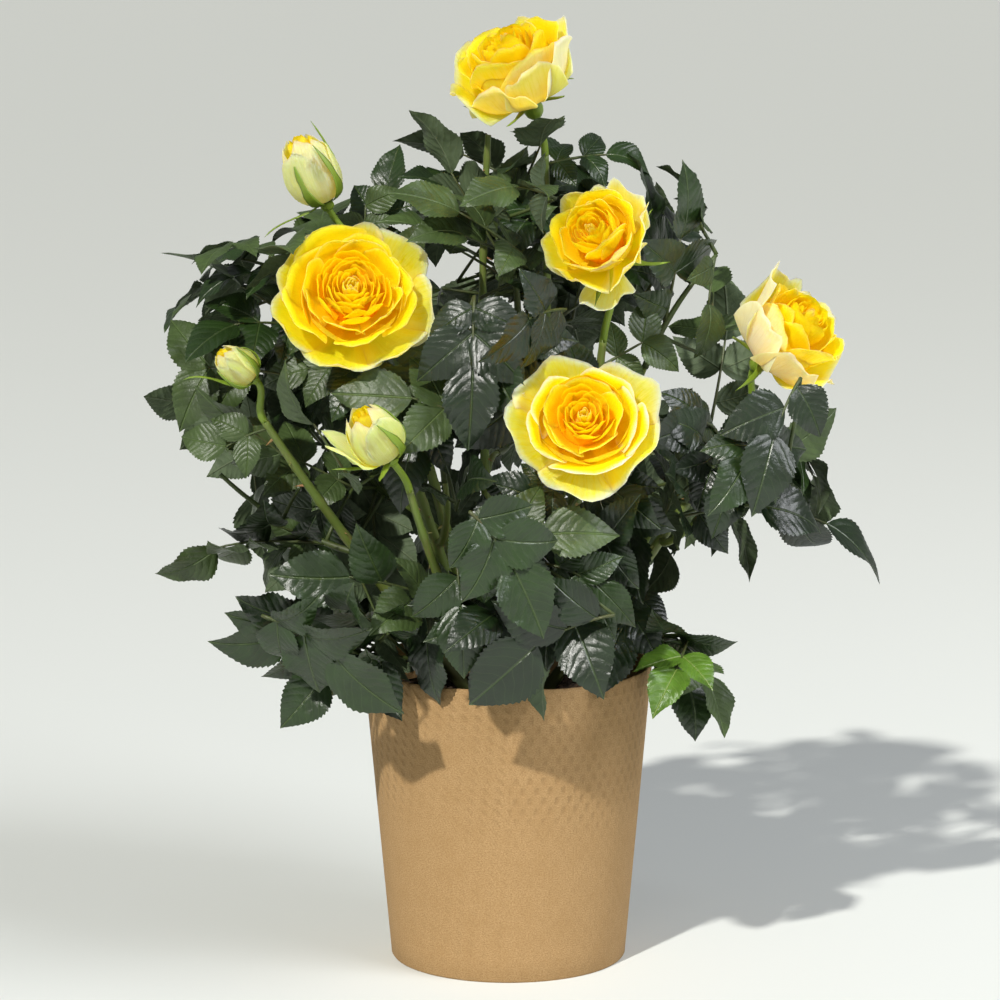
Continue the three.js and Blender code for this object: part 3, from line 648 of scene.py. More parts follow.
thorn_finish = material("prickle", (0.30, 0.17, 0.07), 0.45)
flecked = ramp(thorn_finish, noise(thorn_finish, object_place(thorn_finish), 120), 0.4, 0.6)
link(thorn_finish, blended(thorn_finish, flecked, (0.32, 0.16, 0.07), (0.26, 0.27, 0.08)), "Base Color")
lines, line_points = [], []
for curve, _, _ in LIMBS.values():
    path = curve.at(np.linspace(0.12, 0.94, 40)) / 1000
    first = len(line_points)
    lines += [(first + i, first + i + 1) for i in range(len(path) - 1)]
    line_points += [tuple(p) for p in path]
threads = bpy.data.meshes.new("cane_lines")
threads.from_pydata(line_points, lines, [])
prickles = grown_mesh(threads, prickle_tree(), spacing=0.0125, length=0.0062, seed=3, finish=thorn_finish)
prickles.name = "prickles"
piece(prickles, "green_bark")

# Masses of foliage, and the boughs that carry them. Each mass keeps to its own space round its
# centre and grows from one stem, which goes on from the bough's tip.
BOUGH = ((1.9, 1.5), 0.6)
STEM = (1.6, 1.3)
WALL = 0.6
# Each mass: its centre and size, the cane that its bough leaves and how far up, and the places that
# the tips of its first leaves reach
MASSES = {
    "foliage_top": ([-8, -16, 330], 57, "cane_top", 0.6, [[58, -20, 361], [-34, -6, 372], [-40, -82, 312]]),
    "foliage_left_high": (
        [-96, -6, 296], 58, "cane_upper_left", 0.5, [[-141, -10, 317], [-49, 10, 362], [-165, -20, 260]]),
    "foliage_left": (
        [-112, -26, 214], 57, "cane_left_low", 0.55,
        [[-139, -50, 208], [-113, -72, 227], [-149, -30, 176]]),
    "foliage_foot_left": (
        [-66, -52, 150], 55, "cane_left_low", 0.16,
        [[-116, -70, 155], [-91, -50, 118], [-44, -88, 122], [-71, -98, 182]]),
    "foliage_heart": ([-26, -50, 258], 58, "cane_left", 0.45, [[-14, -92, 236]]),
    "foliage_front": (
        [10, -82, 186], 55, "cane_front", 0.3,
        [[19, -118, 162], [40, -112, 144], [-14, -114, 170], [43, -104, 206], [-22, -100, 132]]),
    "foliage_right_high": ([82, -14, 304], 57, "cane_centre_right", 0.7, [[78, -30, 355], [101, -40, 320]]),
    "foliage_right": (
        [110, -34, 224], 57, "cane_right", 0.55, [[163, -20, 179], [136, -10, 240], [100, -80, 207]]),
    "foliage_right_low": (
        [82, -38, 154], 56, "cane_right", 0.2, [[94, -70, 154], [92, -40, 113], [68, -90, 162]]),
    "foliage_back_high": ([8, 58, 300], 69, "cane_top", 0.5, []),
    "foliage_back_left": ([-80, 56, 222], 70, "cane_upper_left", 0.35, []),
    "foliage_back_right": ([86, 56, 222], 70, "cane_right", 0.35, []),
    "foliage_back": ([4, 72, 234], 60, "cane_cut", 0.4, [[-16, 112, 236], [26, 112, 214]]),
    "foliage_back_low": ([0, 76, 166], 65, "cane_cut", 0.14, []),
}
stems = []
for name, (centre, size, on, at, tips) in MASSES.items():
    centre = np.array(centre, float)
    cane, r0, r1 = LIMBS[on]
    root, tangent = cane.at(at), cane.tangent(at)
    out = square_to(centre - root, tangent)
    heading = unit(out * (1 - BOUGH[1] / 2) + tangent * BOUGH[1])
    slant = abs(heading @ tangent)
    cane_radius = r0 + (r1 - r0) * at
    entry = root + out * (cane_radius * 0.88 + CLEAR + BOUGH[0][0] * slant * 0.8)
    far = np.linalg.norm(centre - entry)
    if far > size * 0.7 + 14:
        end = entry + (centre - entry) * (1 - size * 0.7 / far)
        curve = Bend(entry, entry + heading * (np.linalg.norm(end - entry) * 0.45), end)
        bough = name.replace("foliage", "bough")
        LIMBS[bough] = (curve, *BOUGH[0])
        share, radii = knotted(curve, *BOUGH[0], rng, 16.0)
        path = np.vstack([root, curve.at(share), curve.at(1.0) + curve.tangent(1.0) * 2])
        radii = np.vstack([radii[:1], radii, radii[-1:]])
        bark = Gathered()
        bark.add(*tube(path, radii, CANE_SIDES))
        piece(bark.mesh("bark_" + bough, [green_bark]), "green_bark", bough)
        heading = curve.tangent(1.0)
        entry = end + heading * CLEAR
    inner = centre + unit(centre - entry) * (size * 0.3)
    stems.append(Bend(entry, entry + heading * (np.linalg.norm(inner - entry) * 0.5), inner))

# Flowers. Five roses and three buds, each on a green stalk with a hip and five pointed sepals.
# Golden petals crowd the heart, and paler, wider ones open round it with edges that roll back.
# For each, its cane, then the space it keeps: centre, the way it faces, radius and how open it is
BLOOMS = {
    "rose_top": ("cane_top", [1, -11, 399], [-0.5, -0.42, 0.75], 27, 0.75),
    "rose_left": ("cane_left", [-67, -75, 306], [0.02, -0.97, 0.2], 33, 1),
    "rose_centre": ("cane_centre_right", [38, -60, 329], [-0.04, -0.75, 0.66], 24, 0.7),
    "rose_right": ("cane_right", [123, -30, 288], [0.5, -0.45, 0.74], 24, 0.6),
    "rose_front": ("cane_front", [32, -110, 257], [0.04, -0.95, 0.3], 30, 1),
    "bud_upper_left": ("cane_upper_left", [-86, -20, 356], [-0.42, -0.15, 0.9], 14.5, 0),
    "bud_left": ("cane_left_low", [-116, -60, 275], [-0.5, -0.35, 0.78], 9.5, 0),
    "bud_front": ("cane_front_left", [-58, -108, 253], [-0.6, -0.35, 0.72], 14, 0),
}
# How each is drawn inside that space: its foot, the way it faces, its radius and its depth
DRAWN = {
    "rose_top": ([9, -8, 386], [-0.36, -0.34, 0.87], 26, 32),
    "rose_left": ([-66.5, -56, 299], [0.02, -0.86, 0.5], 30.5, 27),
    "rose_centre": ([43.5, -50, 322.5], [-0.4, -0.75, 0.5], 21.5, 25),
    "rose_right": ([112.5, -20, 274], [0.62, -0.42, 0.66], 24, 32),
    "rose_front": ([32, -93, 250.5], [-0.05, -0.88, 0.47], 26.8, 25),
    "bud_upper_left": ([-80, -18, 342], [-0.4, -0.15, 0.9], 12, 30.5),
    "bud_left": ([-110, -56, 269], [-0.72, -0.3, 0.62], 8.4, 19),
    "bud_front": ([-50, -101, 241], [-0.5, -0.35, 0.79], 11.5, 25),
}
# The outermost petals: the way each points round the flower in degrees, its reach in radii, the
# height of its rim in depths, and how pale it is
GUARDS = {
    "rose_top": [(195, 1.14, 0.62, 0.3), (245, 1.0, 0.6, 0.3), (290, 0.95, 0.74, 0.3), (335, 0.97, 0.82, 1),
                 (20, 0.97, 0.85, 1), (75, 1.0, 0.85, 0.4), (135, 1.04, 0.8, 0.3)],
    "rose_left": [(48, 1.1, 0.5, 0.6), (0, 1.08, 0.45, 0.65), (98, 1.03, 0.52, 0.3), (148, 1.04, 0.5, 0.2),
                  (204, 1.03, 0.5, 0.2), (256, 1.04, 0.45, 0.3), (308, 1.05, 0.45, 0.4)],
    "rose_centre": [(50, 1.1, 0.8, 0.9), (0, 1.03, 0.75, 0.4), (-48, 1.0, 0.66, 0.3), (-102, 1.14, 0.0, 1),
                    (-128, 1.0, 0.66, 0.3), (180, 1.02, 0.75, 0.3), (112, 1.03, 0.8, 0.4)],
    "rose_right": [(163, 1.0, 1.12, 1), (215, 1.02, 0.8, 1), (268, 1.05, 0.7, 0.9), (322, 1.12, 0.5, 0.6),
                   (10, 1.0, 0.75, 0.4), (62, 1.0, 0.85, 0.5), (112, 1.0, 0.9, 0.6)],
    "rose_front": [(126, 1.13, 0.5, 0.6), (37, 1.13, 0.5, 0.85), (-32, 1.1, 0.5, 0.4),
                   (-97, 1.14, 0.4, 0.75), (184, 1.12, 0.45, 0.6)],
}
# The side of a flower where the backs of its petals are palest
PALE = {"rose_top": 350, "rose_left": 20, "rose_centre": -60, "rose_right": 210, "rose_front": -140}
# The petals' feet are darker than their rims. The gold at a foot is partly the petal's own colour and
# partly painted shade. The deep orange is painted shade of the crevices deep in the flower, and so is the
# orange of the closed heart.
ORANGE_SHADE = np.array([0.92, 0.38, 0.001])
GOLD = np.array([0.94, 0.51, 0.001])
YELLOW = np.array([0.95, 0.64, 0.002])
LEMON = np.array([0.95, 0.75, 0.05])
CREAM = np.array([0.93, 0.88, 0.46])
PEACH = np.array([0.93, 0.78, 0.42])
GREENISH = np.array([0.70, 0.79, 0.36])
BUD_CREAM = np.array([0.84, 0.81, 0.33])
BUD_GREEN = np.array([0.55, 0.65, 0.13])

# The petals give off a faint painted glow in their own veined colour. This emission stands in for light
# shining through them.
glowing_petal_finish = material(
    "petal", (0.99, 0.74, 0.03), 0.55, Specular_IOR_Level=0.14, Subsurface_Weight=0.85, Sheen_Weight=0.04,
    Sheen_Roughness=0.5, Emission_Strength=0.1,
)
petal_shader = glowing_petal_finish.node_tree.nodes["Principled BSDF"]
petal_shader.inputs["Subsurface Radius"].default_value = (0.005, 0.0035, 0.0012)
petal_shader.inputs["Subsurface Scale"].default_value = 1.0
petal_shader.inputs["Sheen Tint"].default_value = (1.0, 0.86, 0.35, 1)
tinted = node(glowing_petal_finish, "ShaderNodeAttribute", attribute_name="tint")
veins_map = node(glowing_petal_finish, "ShaderNodeMapping", uv_place(glowing_petal_finish), inputs={"Scale": (30, 2.4, 1)})
veins = noise(glowing_petal_finish, veins_map.outputs[0], 1.0, 4, 0.6)
cloud = noise(glowing_petal_finish, object_place(glowing_petal_finish), 190, 2)
deeper = node(glowing_petal_finish, "ShaderNodeHueSaturation", inputs={"Saturation": 1.12, "Value": 0.94})
glowing_petal_finish.node_tree.links.new(tinted.outputs["Color"], deeper.inputs["Color"])
veined = blended(glowing_petal_finish, ramp(glowing_petal_finish, veins, 0.42, 0.72), tinted.outputs["Color"],
                 deeper.outputs["Color"])
link(glowing_petal_finish, veined, "Base Color")
# Painted glow: the petal's colour is also given off as light
link(glowing_petal_finish, veined, "Emission Color")
rumpled = sum_of(glowing_petal_finish, "ADD", veins, sum_of(glowing_petal_finish, "MULTIPLY", cloud, 1.6))
relief(glowing_petal_finish, rumpled, 0.35, 0.0005)


def smooth_step(low, high, value):
    share = np.clip((value - low) / (high - low), 0, 1)
    return share * share * (3 - 2 * share)


def between(a, b, share):
    return a + (b - a) * np.asarray(share)[..., None]


def shell(grid, thick):
    """A closed thin shell on a grid of points: two sides that meet in one edge all round. Gives its
    points, its faces, which side each face is on, and the grid place of each point."""
    rows, cols = grid.shape[:2]
    normal = unit(np.cross(np.gradient(grid, axis=0), np.gradient(grid, axis=1)) + 1e-12)
    index = np.arange(rows * cols).reshape(rows, cols)
    inner = index[1:-1, 1:-1].ravel()
    flat, away = grid.reshape(-1, 3), normal.reshape(-1, 3)
    front = flat.copy()
    front[inner] += away[inner] * thick / 2
    back = flat[inner] - away[inner] * thick / 2
    under = index.copy()
    under[1:-1, 1:-1] = rows * cols + np.arange(len(inner)).reshape(rows - 2, cols - 2)
    quads = []
    for ids, flip in ((index, False), (under, True)):
        a, b, c, d = ids[:-1, :-1], ids[:-1, 1:], ids[1:, 1:], ids[1:, :-1]
        order = (a, b, c, d) if flip else (a, d, c, b)
        quads.append(np.stack([q.ravel() for q in order], 1))
    faces = list(np.concatenate(quads))
    sides = np.repeat([0, 1], len(quads[0]))
    return np.vstack([front, back]), faces, sides, np.concatenate([index.ravel(), inner])


def swept(profile, share):
    """Radius and height on a curve of four control points, at shares along it"""
    p = np.array(profile, float)
    k = 1 - share
    weights = (k**3, 3 * k * k * share, 3 * k * share**2, share**3)
    return sum(w * q[0] for w, q in zip(weights, p)), sum(w * q[1] for w, q in zip(weights, p))


def petal(flower, place, turn, profile, half_angle, colours, rng, ruffle=0.6, round_by=0.45, roll=0.0,
          lip=0.0, flat=0.0, point=0.02, fine=11):
    """One petal round a flower's axis. Its profile is a curve of radius and height from foot to rim,
    and half_angle is how far it reaches round. Its sides stand away by flat and roll back by roll,
    and its rim turns out by lip. Colours are inner foot, inner rim, edge and back."""
    across = np.sin(np.linspace(-1, 1, fine + 2) * math.pi / 2)
    s, t = np.meshgrid(np.linspace(0, 1, fine), across, indexing="ij")
    nick = rng.uniform(-0.5, 0.5)
    reach = s * (1 - round_by * np.abs(t) ** 2.8 + point * np.exp(-(((t - nick * 0.4) / 0.25) ** 2)))
    radius, height = swept(profile, reach)
    angle = half_angle * t * (0.8 + 0.2 * np.sin(s * math.pi / 2))
    tall = profile[3][1]
    phase = rng.uniform(0, 2 * math.pi, 4)
    wave = np.sin(t * 3.3 + phase[0]) * 0.55 + np.sin(t * 7.1 + phase[1]) * 0.45
    lean = rng.uniform(-0.1, 0.1)
    out = smooth_step(0.7, 1.0, reach)
    radius = radius * (1 + flat * (1 - np.cos(angle)) + lean * t * s)
    radius = radius + ruffle * wave * s**2 + roll * np.abs(t) ** 3 * s**2 + lip * out
    height = height + ruffle * (0.8 * np.sin(t * 5.3 + phase[2]) + 0.35 * np.sin(t * 12 + phase[3])) * s**3
    height = height - roll * 0.8 * np.abs(t) ** 3 * s**2 - lip * 0.55 * out**2 + 0.03 * tall * lean * t
    radius = np.maximum(radius, 0.15)
    grid = place(radius * np.cos(turn + angle), radius * np.sin(turn + angle), height)
    points, faces, sides, at = shell(grid, 0.32)
    foot, rim, edge, back = colours
    near_edge = np.maximum(smooth_step(0.8, 1.0, s), 0.8 * smooth_step(0.8, 1.0, np.abs(t)) * s)
    front_tint = between(between(foot, rim, smooth_step(0.1, 0.75, s)), edge, near_edge)
    back_tint = between(back, edge, near_edge * 0.7)
    count = s.size
    tint = np.vstack([front_tint.reshape(-1, 3), back_tint.reshape(-1, 3)[at[count:]]])
    uv = np.stack([(t.ravel() + 1) / 2, s.ravel()], 1)[at]
    flower.add(points, faces, uv, sides, np.clip(tint * rng.uniform(0.97, 1.02), 0, 1))


def sepal(green, place, turn, profile, half, rng):
    """A slim pointed sepal along a curve of radius and height from a flower's foot"""
    s, t = np.meshgrid(np.linspace(0, 1, 12), np.linspace(-1, 1, 5), indexing="ij")
    radius, height = swept(profile, s)
    lobe = 1 + 0.25 * np.sin(s * 15 + rng.uniform(0, 6)) * smooth_step(0.3, 0.6, s)
    width = half * np.minimum(1, 0.55 + 2.2 * s) * (1 - s) ** 0.8 * lobe + 0.12
    radius = radius + 0.25 * width * np.abs(t)
    angle = turn + rng.uniform(-0.5, 0.5) * s**2 + width * t / np.maximum(radius, 2.5)
    grid = place(radius * np.cos(angle), radius * np.sin(angle), height)
    points, faces, _, _ = shell(grid, 0.6)
    green.add(points, faces)


obstacle_points, obstacle_radii, obstacle_owners = [], [], []
hearts = []
STEP = 3


def keep_out(point, radius, owner=-1):
    """Foliage keeps clear of a point by a radius, but for the mass that owns it"""
    obstacle_points.append(point)
    obstacle_radii.append(radius)
    obstacle_owners.append(owner)


def keep_clear(curve, r0, r1, owner=-1):
    """Foliage keeps clear of points every few millimetres along a limb"""
    count = math.ceil(curve.length / STEP)
    for i in range(count + 1):
        keep_out(curve.at(i / count), r0 + (r1 - r0) * i / count, owner)


for curve, r0, r1 in LIMBS.values():
    keep_clear(curve, r0, r1)
for i, curve in enumerate(stems):
    keep_clear(curve, *STEM, i)


def places(base, axis):
    """The map from a flower's own places, with its axis upright, to the plant's"""
    side = square_to(np.array([1, 0, 0.01]), axis)
    other = np.cross(axis, side)

    def place(x, y, z):
        x, y, z = (np.asarray(v)[..., None] for v in (x, y, z))
        return base + x * side + y * other + z * axis

    return place


def stalk_to(cane_name, base, axis, radius):
    """The curve of a flower's stalk from its cane's tip, and its radius there"""
    curve, _, r1 = LIMBS[cane_name]
    tangent = curve.tangent(1.0)
    start = curve.at(1.0) + tangent * CLEAR
    end = base - axis * radius * 0.25
    reach = np.linalg.norm(end - start)
    return Bend(start, start + tangent * reach * 0.35, end - axis * reach * 0.35, end), r1


# The space of each flower, which the foliage keeps clear of
for name, (cane_name, centre, faces_way, radius, openness) in BLOOMS.items():
    is_rose = openness > 0.5
    axis = unit(np.array(faces_way, float))
    depth = radius * ((1.25 - 0.35 * openness) if is_rose else 2.1)
    base = np.array(centre, float) - axis * depth * (0.65 if is_rose else 0.5)
    place = places(base, axis)
    stalk, r1 = stalk_to(cane_name, base, axis, radius)
    keep_clear(stalk, r1, 2)
    spread = 1.35 if is_rose else 0.5
    for i in range(5):
        turn = (i + 0.5) / 5 * 2 * math.pi
        out = place(math.cos(turn), math.sin(turn), 0) - base
        along = axis * math.cos(spread) + out * math.sin(spread)
        keep_out(base - axis * radius * 0.1 + along * (10 + radius * 0.6) * 0.7, 4)
    for along_axis in (0.15, 0.5, 0.9):
        keep_out(base + axis * depth * along_axis, radius * (0.6 + 0.45 * along_axis))
    for along_axis in (1.2, 2, 2.8):
        keep_out(base + axis * radius * along_axis, radius * 0.8)

# The golden angle sets each petal, and each shoot, so far on from the last
GOLDEN = math.pi * (3 - math.sqrt(5))
# Rings of petals from the inside out, as shares of a flower's radius and depth: how many, the
# radius and height of the rim for the first and the last, half the way round that these reach, how
# far the rim leans in and turns out, and the colours of foot, rim, edge and back.
FULL_RINGS = [
    (12, (0.04, 0.93), (0.16, 0.98), (1.1, 1.0), 0.7, 0.0, (GOLD, YELLOW, LEMON, YELLOW)),
    (40, (0.17, 0.99), (0.56, 0.93), (0.9, 0.42), 0.9, 0.01, (ORANGE_SHADE, GOLD, YELLOW, YELLOW)),
    (8, (0.60, 0.92), (0.68, 0.87), (0.62, 0.6), 0.97, 0.04, (GOLD, YELLOW, LEMON, YELLOW)),
    (7, (0.76, 0.82), (0.87, 0.74), (0.66, 0.66), 1.0, 0.08, (GOLD, YELLOW, LEMON, LEMON)),
]
LOOSE_RINGS = [
    (8, (0.04, 0.92), (0.13, 0.96), (1.1, 1.1), 0.7, 0.0, (GOLD, YELLOW, LEMON, YELLOW)),
    (22, (0.15, 0.97), (0.47, 0.95), (1.0, 0.6), 0.9, 0.02, (ORANGE_SHADE, GOLD, YELLOW, YELLOW)),
    (6, (0.55, 0.92), (0.62, 0.89), (0.85, 0.8), 0.97, 0.06, (ORANGE_SHADE, YELLOW, LEMON, YELLOW)),
    (6, (0.76, 0.80), (0.88, 0.70), (0.72, 0.72), 1.0, 0.1, (GOLD, YELLOW, CREAM, LEMON)),
]
CUPPED_RINGS = [
    (8, (0.04, 0.98), (0.14, 1.0), (1.2, 1.2), 0.6, 0.0, (GOLD, YELLOW, LEMON, YELLOW)),
    (20, (0.17, 1.02), (0.50, 1.0), (1.1, 0.85), 0.86, 0.02, (ORANGE_SHADE, GOLD, YELLOW, YELLOW)),
    (5, (0.56, 0.98), (0.62, 0.95), (0.95, 0.9), 0.9, 0.05, (GOLD, YELLOW, LEMON, YELLOW)),
    (5, (0.72, 0.92), (0.80, 0.88), (0.9, 0.85), 1.0, 0.08, (GOLD, YELLOW, LEMON, LEMON)),
]
RINGS = {"rose_left": FULL_RINGS, "rose_front": LOOSE_RINGS}


def rose_petals(flower, name, place, radius, depth, rng):
    """The petals of an open rose round a closed heart: ring after ring, each petal a golden angle on
    from the last"""
    heart = [(0, 0.05), (0.35, 0.1), (0.45, 0.4), (0.3, 0.62), (0, 0.7)]
    points, faces, _ = turned([(r * radius, z * depth) for r, z in heart], 24)
    # The closed heart takes the orange of painted shade
    flower.add(place(*points.T), faces, tint=np.tile(ORANGE_SHADE, (len(points), 1)))
    for i in range(6):
        profile = [(radius * 0.1, depth * 0.05), (radius * 0.55, depth * 0.12),
                   (radius * 0.78, depth * 0.42), (radius * 0.7, depth * 0.66)]
        petal(flower, place, i * math.pi / 3, profile, 0.85, (ORANGE_SHADE, GOLD, YELLOW, LEMON), rng)
    turn = rng.uniform(0, 6.28)
    full, rings = name in RINGS, RINGS.get(name, CUPPED_RINGS)
    palest = between(CREAM, {"rose_right": PEACH, "rose_top": GREENISH}.get(name, CREAM), 0.7)
    for ring, (count, first, last, halves, lean_in, lip, colours) in enumerate(rings):
        for i in range(count):
            turn += GOLDEN + rng.uniform(-0.25, 0.25)
            share = (i + 0.5) / count
            r = radius * (first[0] + (last[0] - first[0]) * share) * rng.uniform(0.92, 1.08)
            top = depth * (first[1] + (last[1] - first[1]) * share) * rng.uniform(0.94, 1.04)
            half = (halves[0] + (halves[1] - halves[0]) * share) * rng.uniform(0.85, 1.2)
            low = top * (0.5 if full else 0.42)
            profile = [(max(r - 0.22 * radius, 0.02 * radius), low), (r * 0.9, low + 0.1 * top),
                       (r * (1.02 if full else 1.08), top * 0.8), (r * lean_in, top)]
            foot, rim, edge, back = colours
            if ring == 3:
                back = between(back, palest, 0.8 * max(0, math.cos(turn - math.radians(PALE[name]))))
            petal(flower, place, turn, profile, half, (foot, rim, edge, back), rng,
                  ruffle=(0.3, 0.55, 0.9, 1.2)[ring], round_by=(0.4, 0.5, 0.6, 0.6)[ring],
                  roll=radius * 0.015 * ring, lip=radius * lip, flat=rng.uniform(-0.15, 0.4),
                  point=0.05 * (ring > 1), fine=(9, 10, 14, 15)[ring])
    for degrees, far, rise, pale in GUARDS[name]:
        profile = [(radius * 0.12, 0.0), (radius * 0.8, depth * (min(rise - 0.4, 0) * 0.3 - 0.03)),
                   (radius * 1.0, depth * (rise - 0.18)), (radius * (far - 0.05), depth * rise)]
        back = between(LEMON, palest, pale)
        edge = between(LEMON, CREAM, 0.5 + 0.5 * pale)
        rim = between(YELLOW, CREAM, 0.36 * pale**2)
        petal(flower, place, math.radians(degrees), profile, 0.78 if name == "rose_front" else 0.68,
              (YELLOW, rim, edge, back), rng, ruffle=2.3, round_by=0.5, roll=radius * 0.1, lip=radius * 0.1,
              flat=0.4, point=0.1, fine=18)


def bud_petals(flower, name, place, radius, depth, rng):
    """The petals of a bud, wrapped tight, with the yellow inner ones showing at its mouth"""
    turn = rng.uniform(0, 6.28)
    mouth = {"bud_upper_left": 0.5, "bud_left": 0.34, "bud_front": 0.44}[name]
    for i in range(9):
        turn += GOLDEN
        share = (i + 0.5) / 9
        r = radius * mouth * (0.12 + 0.8 * share)
        top = depth * (1.03 - 0.05 * share) * rng.uniform(0.98, 1.02)
        profile = [(r * 0.6, depth * 0.3), (r * 1.5, depth * 0.5), (r * 1.3, depth * 0.85), (r, top)]
        petal(flower, place, turn, profile, 1.1, (GOLD, YELLOW, YELLOW, LEMON), rng, ruffle=0.4, lip=0.3)
    for i in range(8):
        turn += GOLDEN
        share = (i + 0.5) / 8
        r = radius * (mouth + 0.06 + 0.1 * share)
        top = depth * (0.99 - 0.15 * share) * rng.uniform(0.96, 1.02)
        profile = [(radius * 0.2, 0.0), (radius * (1.16 + 0.1 * share), depth * 0.04),
                   (radius * (1.0 + 0.1 * share), depth * 0.62), (r, top)]
        back = between(BUD_CREAM, BUD_GREEN, (0.05 if name == "bud_upper_left" else 0.4) + 0.4 * share)
        lip = radius * (0.05 + 0.1 * (share > 0.6))
        petal(flower, place, turn, profile, 1.0, (LEMON, LEMON, BUD_CREAM, back), rng, ruffle=0.45,
              round_by=0.4, roll=radius * 0.03, lip=lip, point=0.08, fine=13)
    if name == "bud_front":
        for degrees in (168, 208):
            profile = [(radius * 0.2, 0.0), (radius * 1.3, depth * 0.05), (radius * 1.15, depth * 0.5),
                       (radius * 1.45, depth * 0.84)]
            petal(flower, place, math.radians(degrees), profile, 0.5,
                  (LEMON, BUD_CREAM, BUD_GREEN, BUD_GREEN), rng, round_by=0.5, roll=1.5, lip=1.6,
                  point=0.15)


# The sepals of a bud that stand away from it, by their number: the rest of their curves
SPREAD = {
    "bud_upper_left": {0: [(13.0, 1.0), (15.5, 16.0), (14.0, 33.0)],
                       2: [(10.0, -3.5), (20.0, 1.0), (31.0, -2.5)]},
    "bud_left": {2: [(11.5, 0.5), (8.5, 17.0), (19.0, 24.0)]},
    "bud_front": {1: [(10.0, -0.5), (16.0, 3.0), (22.0, 15.0)], 2: [(10.0, -1.0), (15.0, 2.0), (24.0, 7.0)],
                  3: [(10.0, -1.5), (14.0, 0.0), (20.0, 2.0)]},
}

for number, (name, (base, faces_way, radius, depth)) in enumerate(DRAWN.items()):
    rng = np.random.default_rng(40 + number)
    is_rose = name in GUARDS
    base, axis = np.array(base, float), unit(np.array(faces_way, float))
    place = places(base, axis)
    hearts.append((base, axis, radius, depth))
    flower, green = Gathered(), Gathered()
    if is_rose:
        rose_petals(flower, name, place, radius, depth, rng)
    else:
        bud_petals(flower, name, place, radius, depth, rng)
    slot = "yellow_petal" if is_rose else "cream_petal"
    piece(flower.mesh("petals_" + name, [glowing_petal_finish, glowing_petal_finish]), slot, name)

    long = 10 + radius * 0.6
    for i in range(5):
        turn = (i + 0.5) / 5 * 2 * math.pi
        if is_rose:
            droop = rng.uniform(-0.35, 0.3)
            profile = [(radius * 0.16, -0.5), (long * 0.45, -0.5), (long * 0.8, long * 0.1 * droop),
                       (long * 1.12, long * droop)]
            sepal(green, place, turn, profile, 2.3, rng)
        elif i in SPREAD[name]:
            sepal(green, place, turn, [(radius * 0.25, -0.5), *SPREAD[name][i]], 2.4, rng)
        else:
            high = rng.uniform(0.6, 0.9)
            profile = [(radius * 0.25, -0.5), (radius * 1.32, depth * 0.02), (radius * 1.12, depth * 0.5),
                       (radius * 0.86, depth * high)]
            sepal(green, place, turn, profile, radius * 0.28, rng)
    hip = [(0, -0.40), (0.10, -0.385), (0.15, -0.32), (0.175, -0.22), (0.165, -0.10), (0.2, 0.0),
           (0.3, 0.05), (0, 0.08)]
    if not is_rose:
        hip = [(r * 1.5, z) for r, z in hip]
    points, faces, uv = turned([(r * radius, z * radius * 0.9) for r, z in hip], 16)
    green.add(place(*points.T), faces, uv)
    stalk, r1 = stalk_to(BLOOMS[name][0], base, axis, radius)
    share = np.linspace(0, 1, 16)
    path = np.vstack([stalk.at(0.0) - stalk.tangent(0.0) * 1.5, stalk.at(share)])
    green.add(*tube(path, np.concatenate([[r1], r1 + (1.9 - r1) * share]) * 0.78, 12))
    piece(green.mesh("green_" + name, [fresh_green]), "green_bark")

# Leaves. Each is compound: three or five toothed leaflets on one stalk, dark and glossy above and
# paler and dull beneath, folded along the rib, with veins pressed into the upper side.
CROWN_CENTRE = np.array([0.0, 2.0, 236.0])
CROWN_REACH = np.array([160.0, 112.0, 134.0])
# How many main shoots there are, how far out in the crown they end, and the leaves round each end
SHOOTS, DEPTH, WHORL = 36, 0.74, 3
# The crown's outline from the front: a height, and how far it reaches to the left and to the right
OUTLINE = np.array([
    [105, -60, 88], [128, -97, 96], [150, -120, 106], [178, -150, 162], [204, -144, 158],
    [225, -152, 146], [243, -152, 138], [262, -168, 120], [298, -150, 112], [316, -141, 106],
    [343, -72, 96], [358, -60, 88], [378, -36, 52],
], float)
# A leaflet's length, its width, its widest place along it, and how much it folds up
LENGTH, WIDTH, WIDEST, FOLD = 38, 0.74, 0.42, 0.14
# The end leaflet and the two pairs: how far back they stand, at what angle, and how big they are
NODES, ANGLES, SIZES = (1, 1.37, 1.74), (0, 0.95, 1.15), (1, 0.84, 0.68)
# How much a leaf arches up and bows out, how often one is tried, and how clear of the pot it stays
ARCH, BULGE, TRIES, OFF_POT = 0.2, 0.3, 70, 2.5
# In leaflets' lengths: the shortest leaf with full leaflets, the shortest with two pairs of them, and
# the longest leaf. The leaflets of a shorter leaf are smaller, down to this share of the full length.
SHORTEST, TWO_PAIRS, LONGEST, SMALLEST = 1.48, 1.84, 3.1, 0.62
# Clearances: of a twig from a limb, of a twig from a leaf, of a leaf from a limb, and between leaves
TWIG_OFF_LIMB, TWIG_OFF_LEAF, LEAF_OFF_LIMB, LEAF_OFF_LEAF = 1.6, 1.4, 1.2, 1.0
CENTRES = np.array([m[0] for m in MASSES.values()], float)
SPANS = np.array([m[1] for m in MASSES.values()], float)
APART = np.linalg.norm(CENTRES[:, None] - CENTRES, axis=2)
OBSTACLES = np.array(obstacle_points)
OBSTACLE_R = np.array(obstacle_radii)
OWNERS = np.array(obstacle_owners)


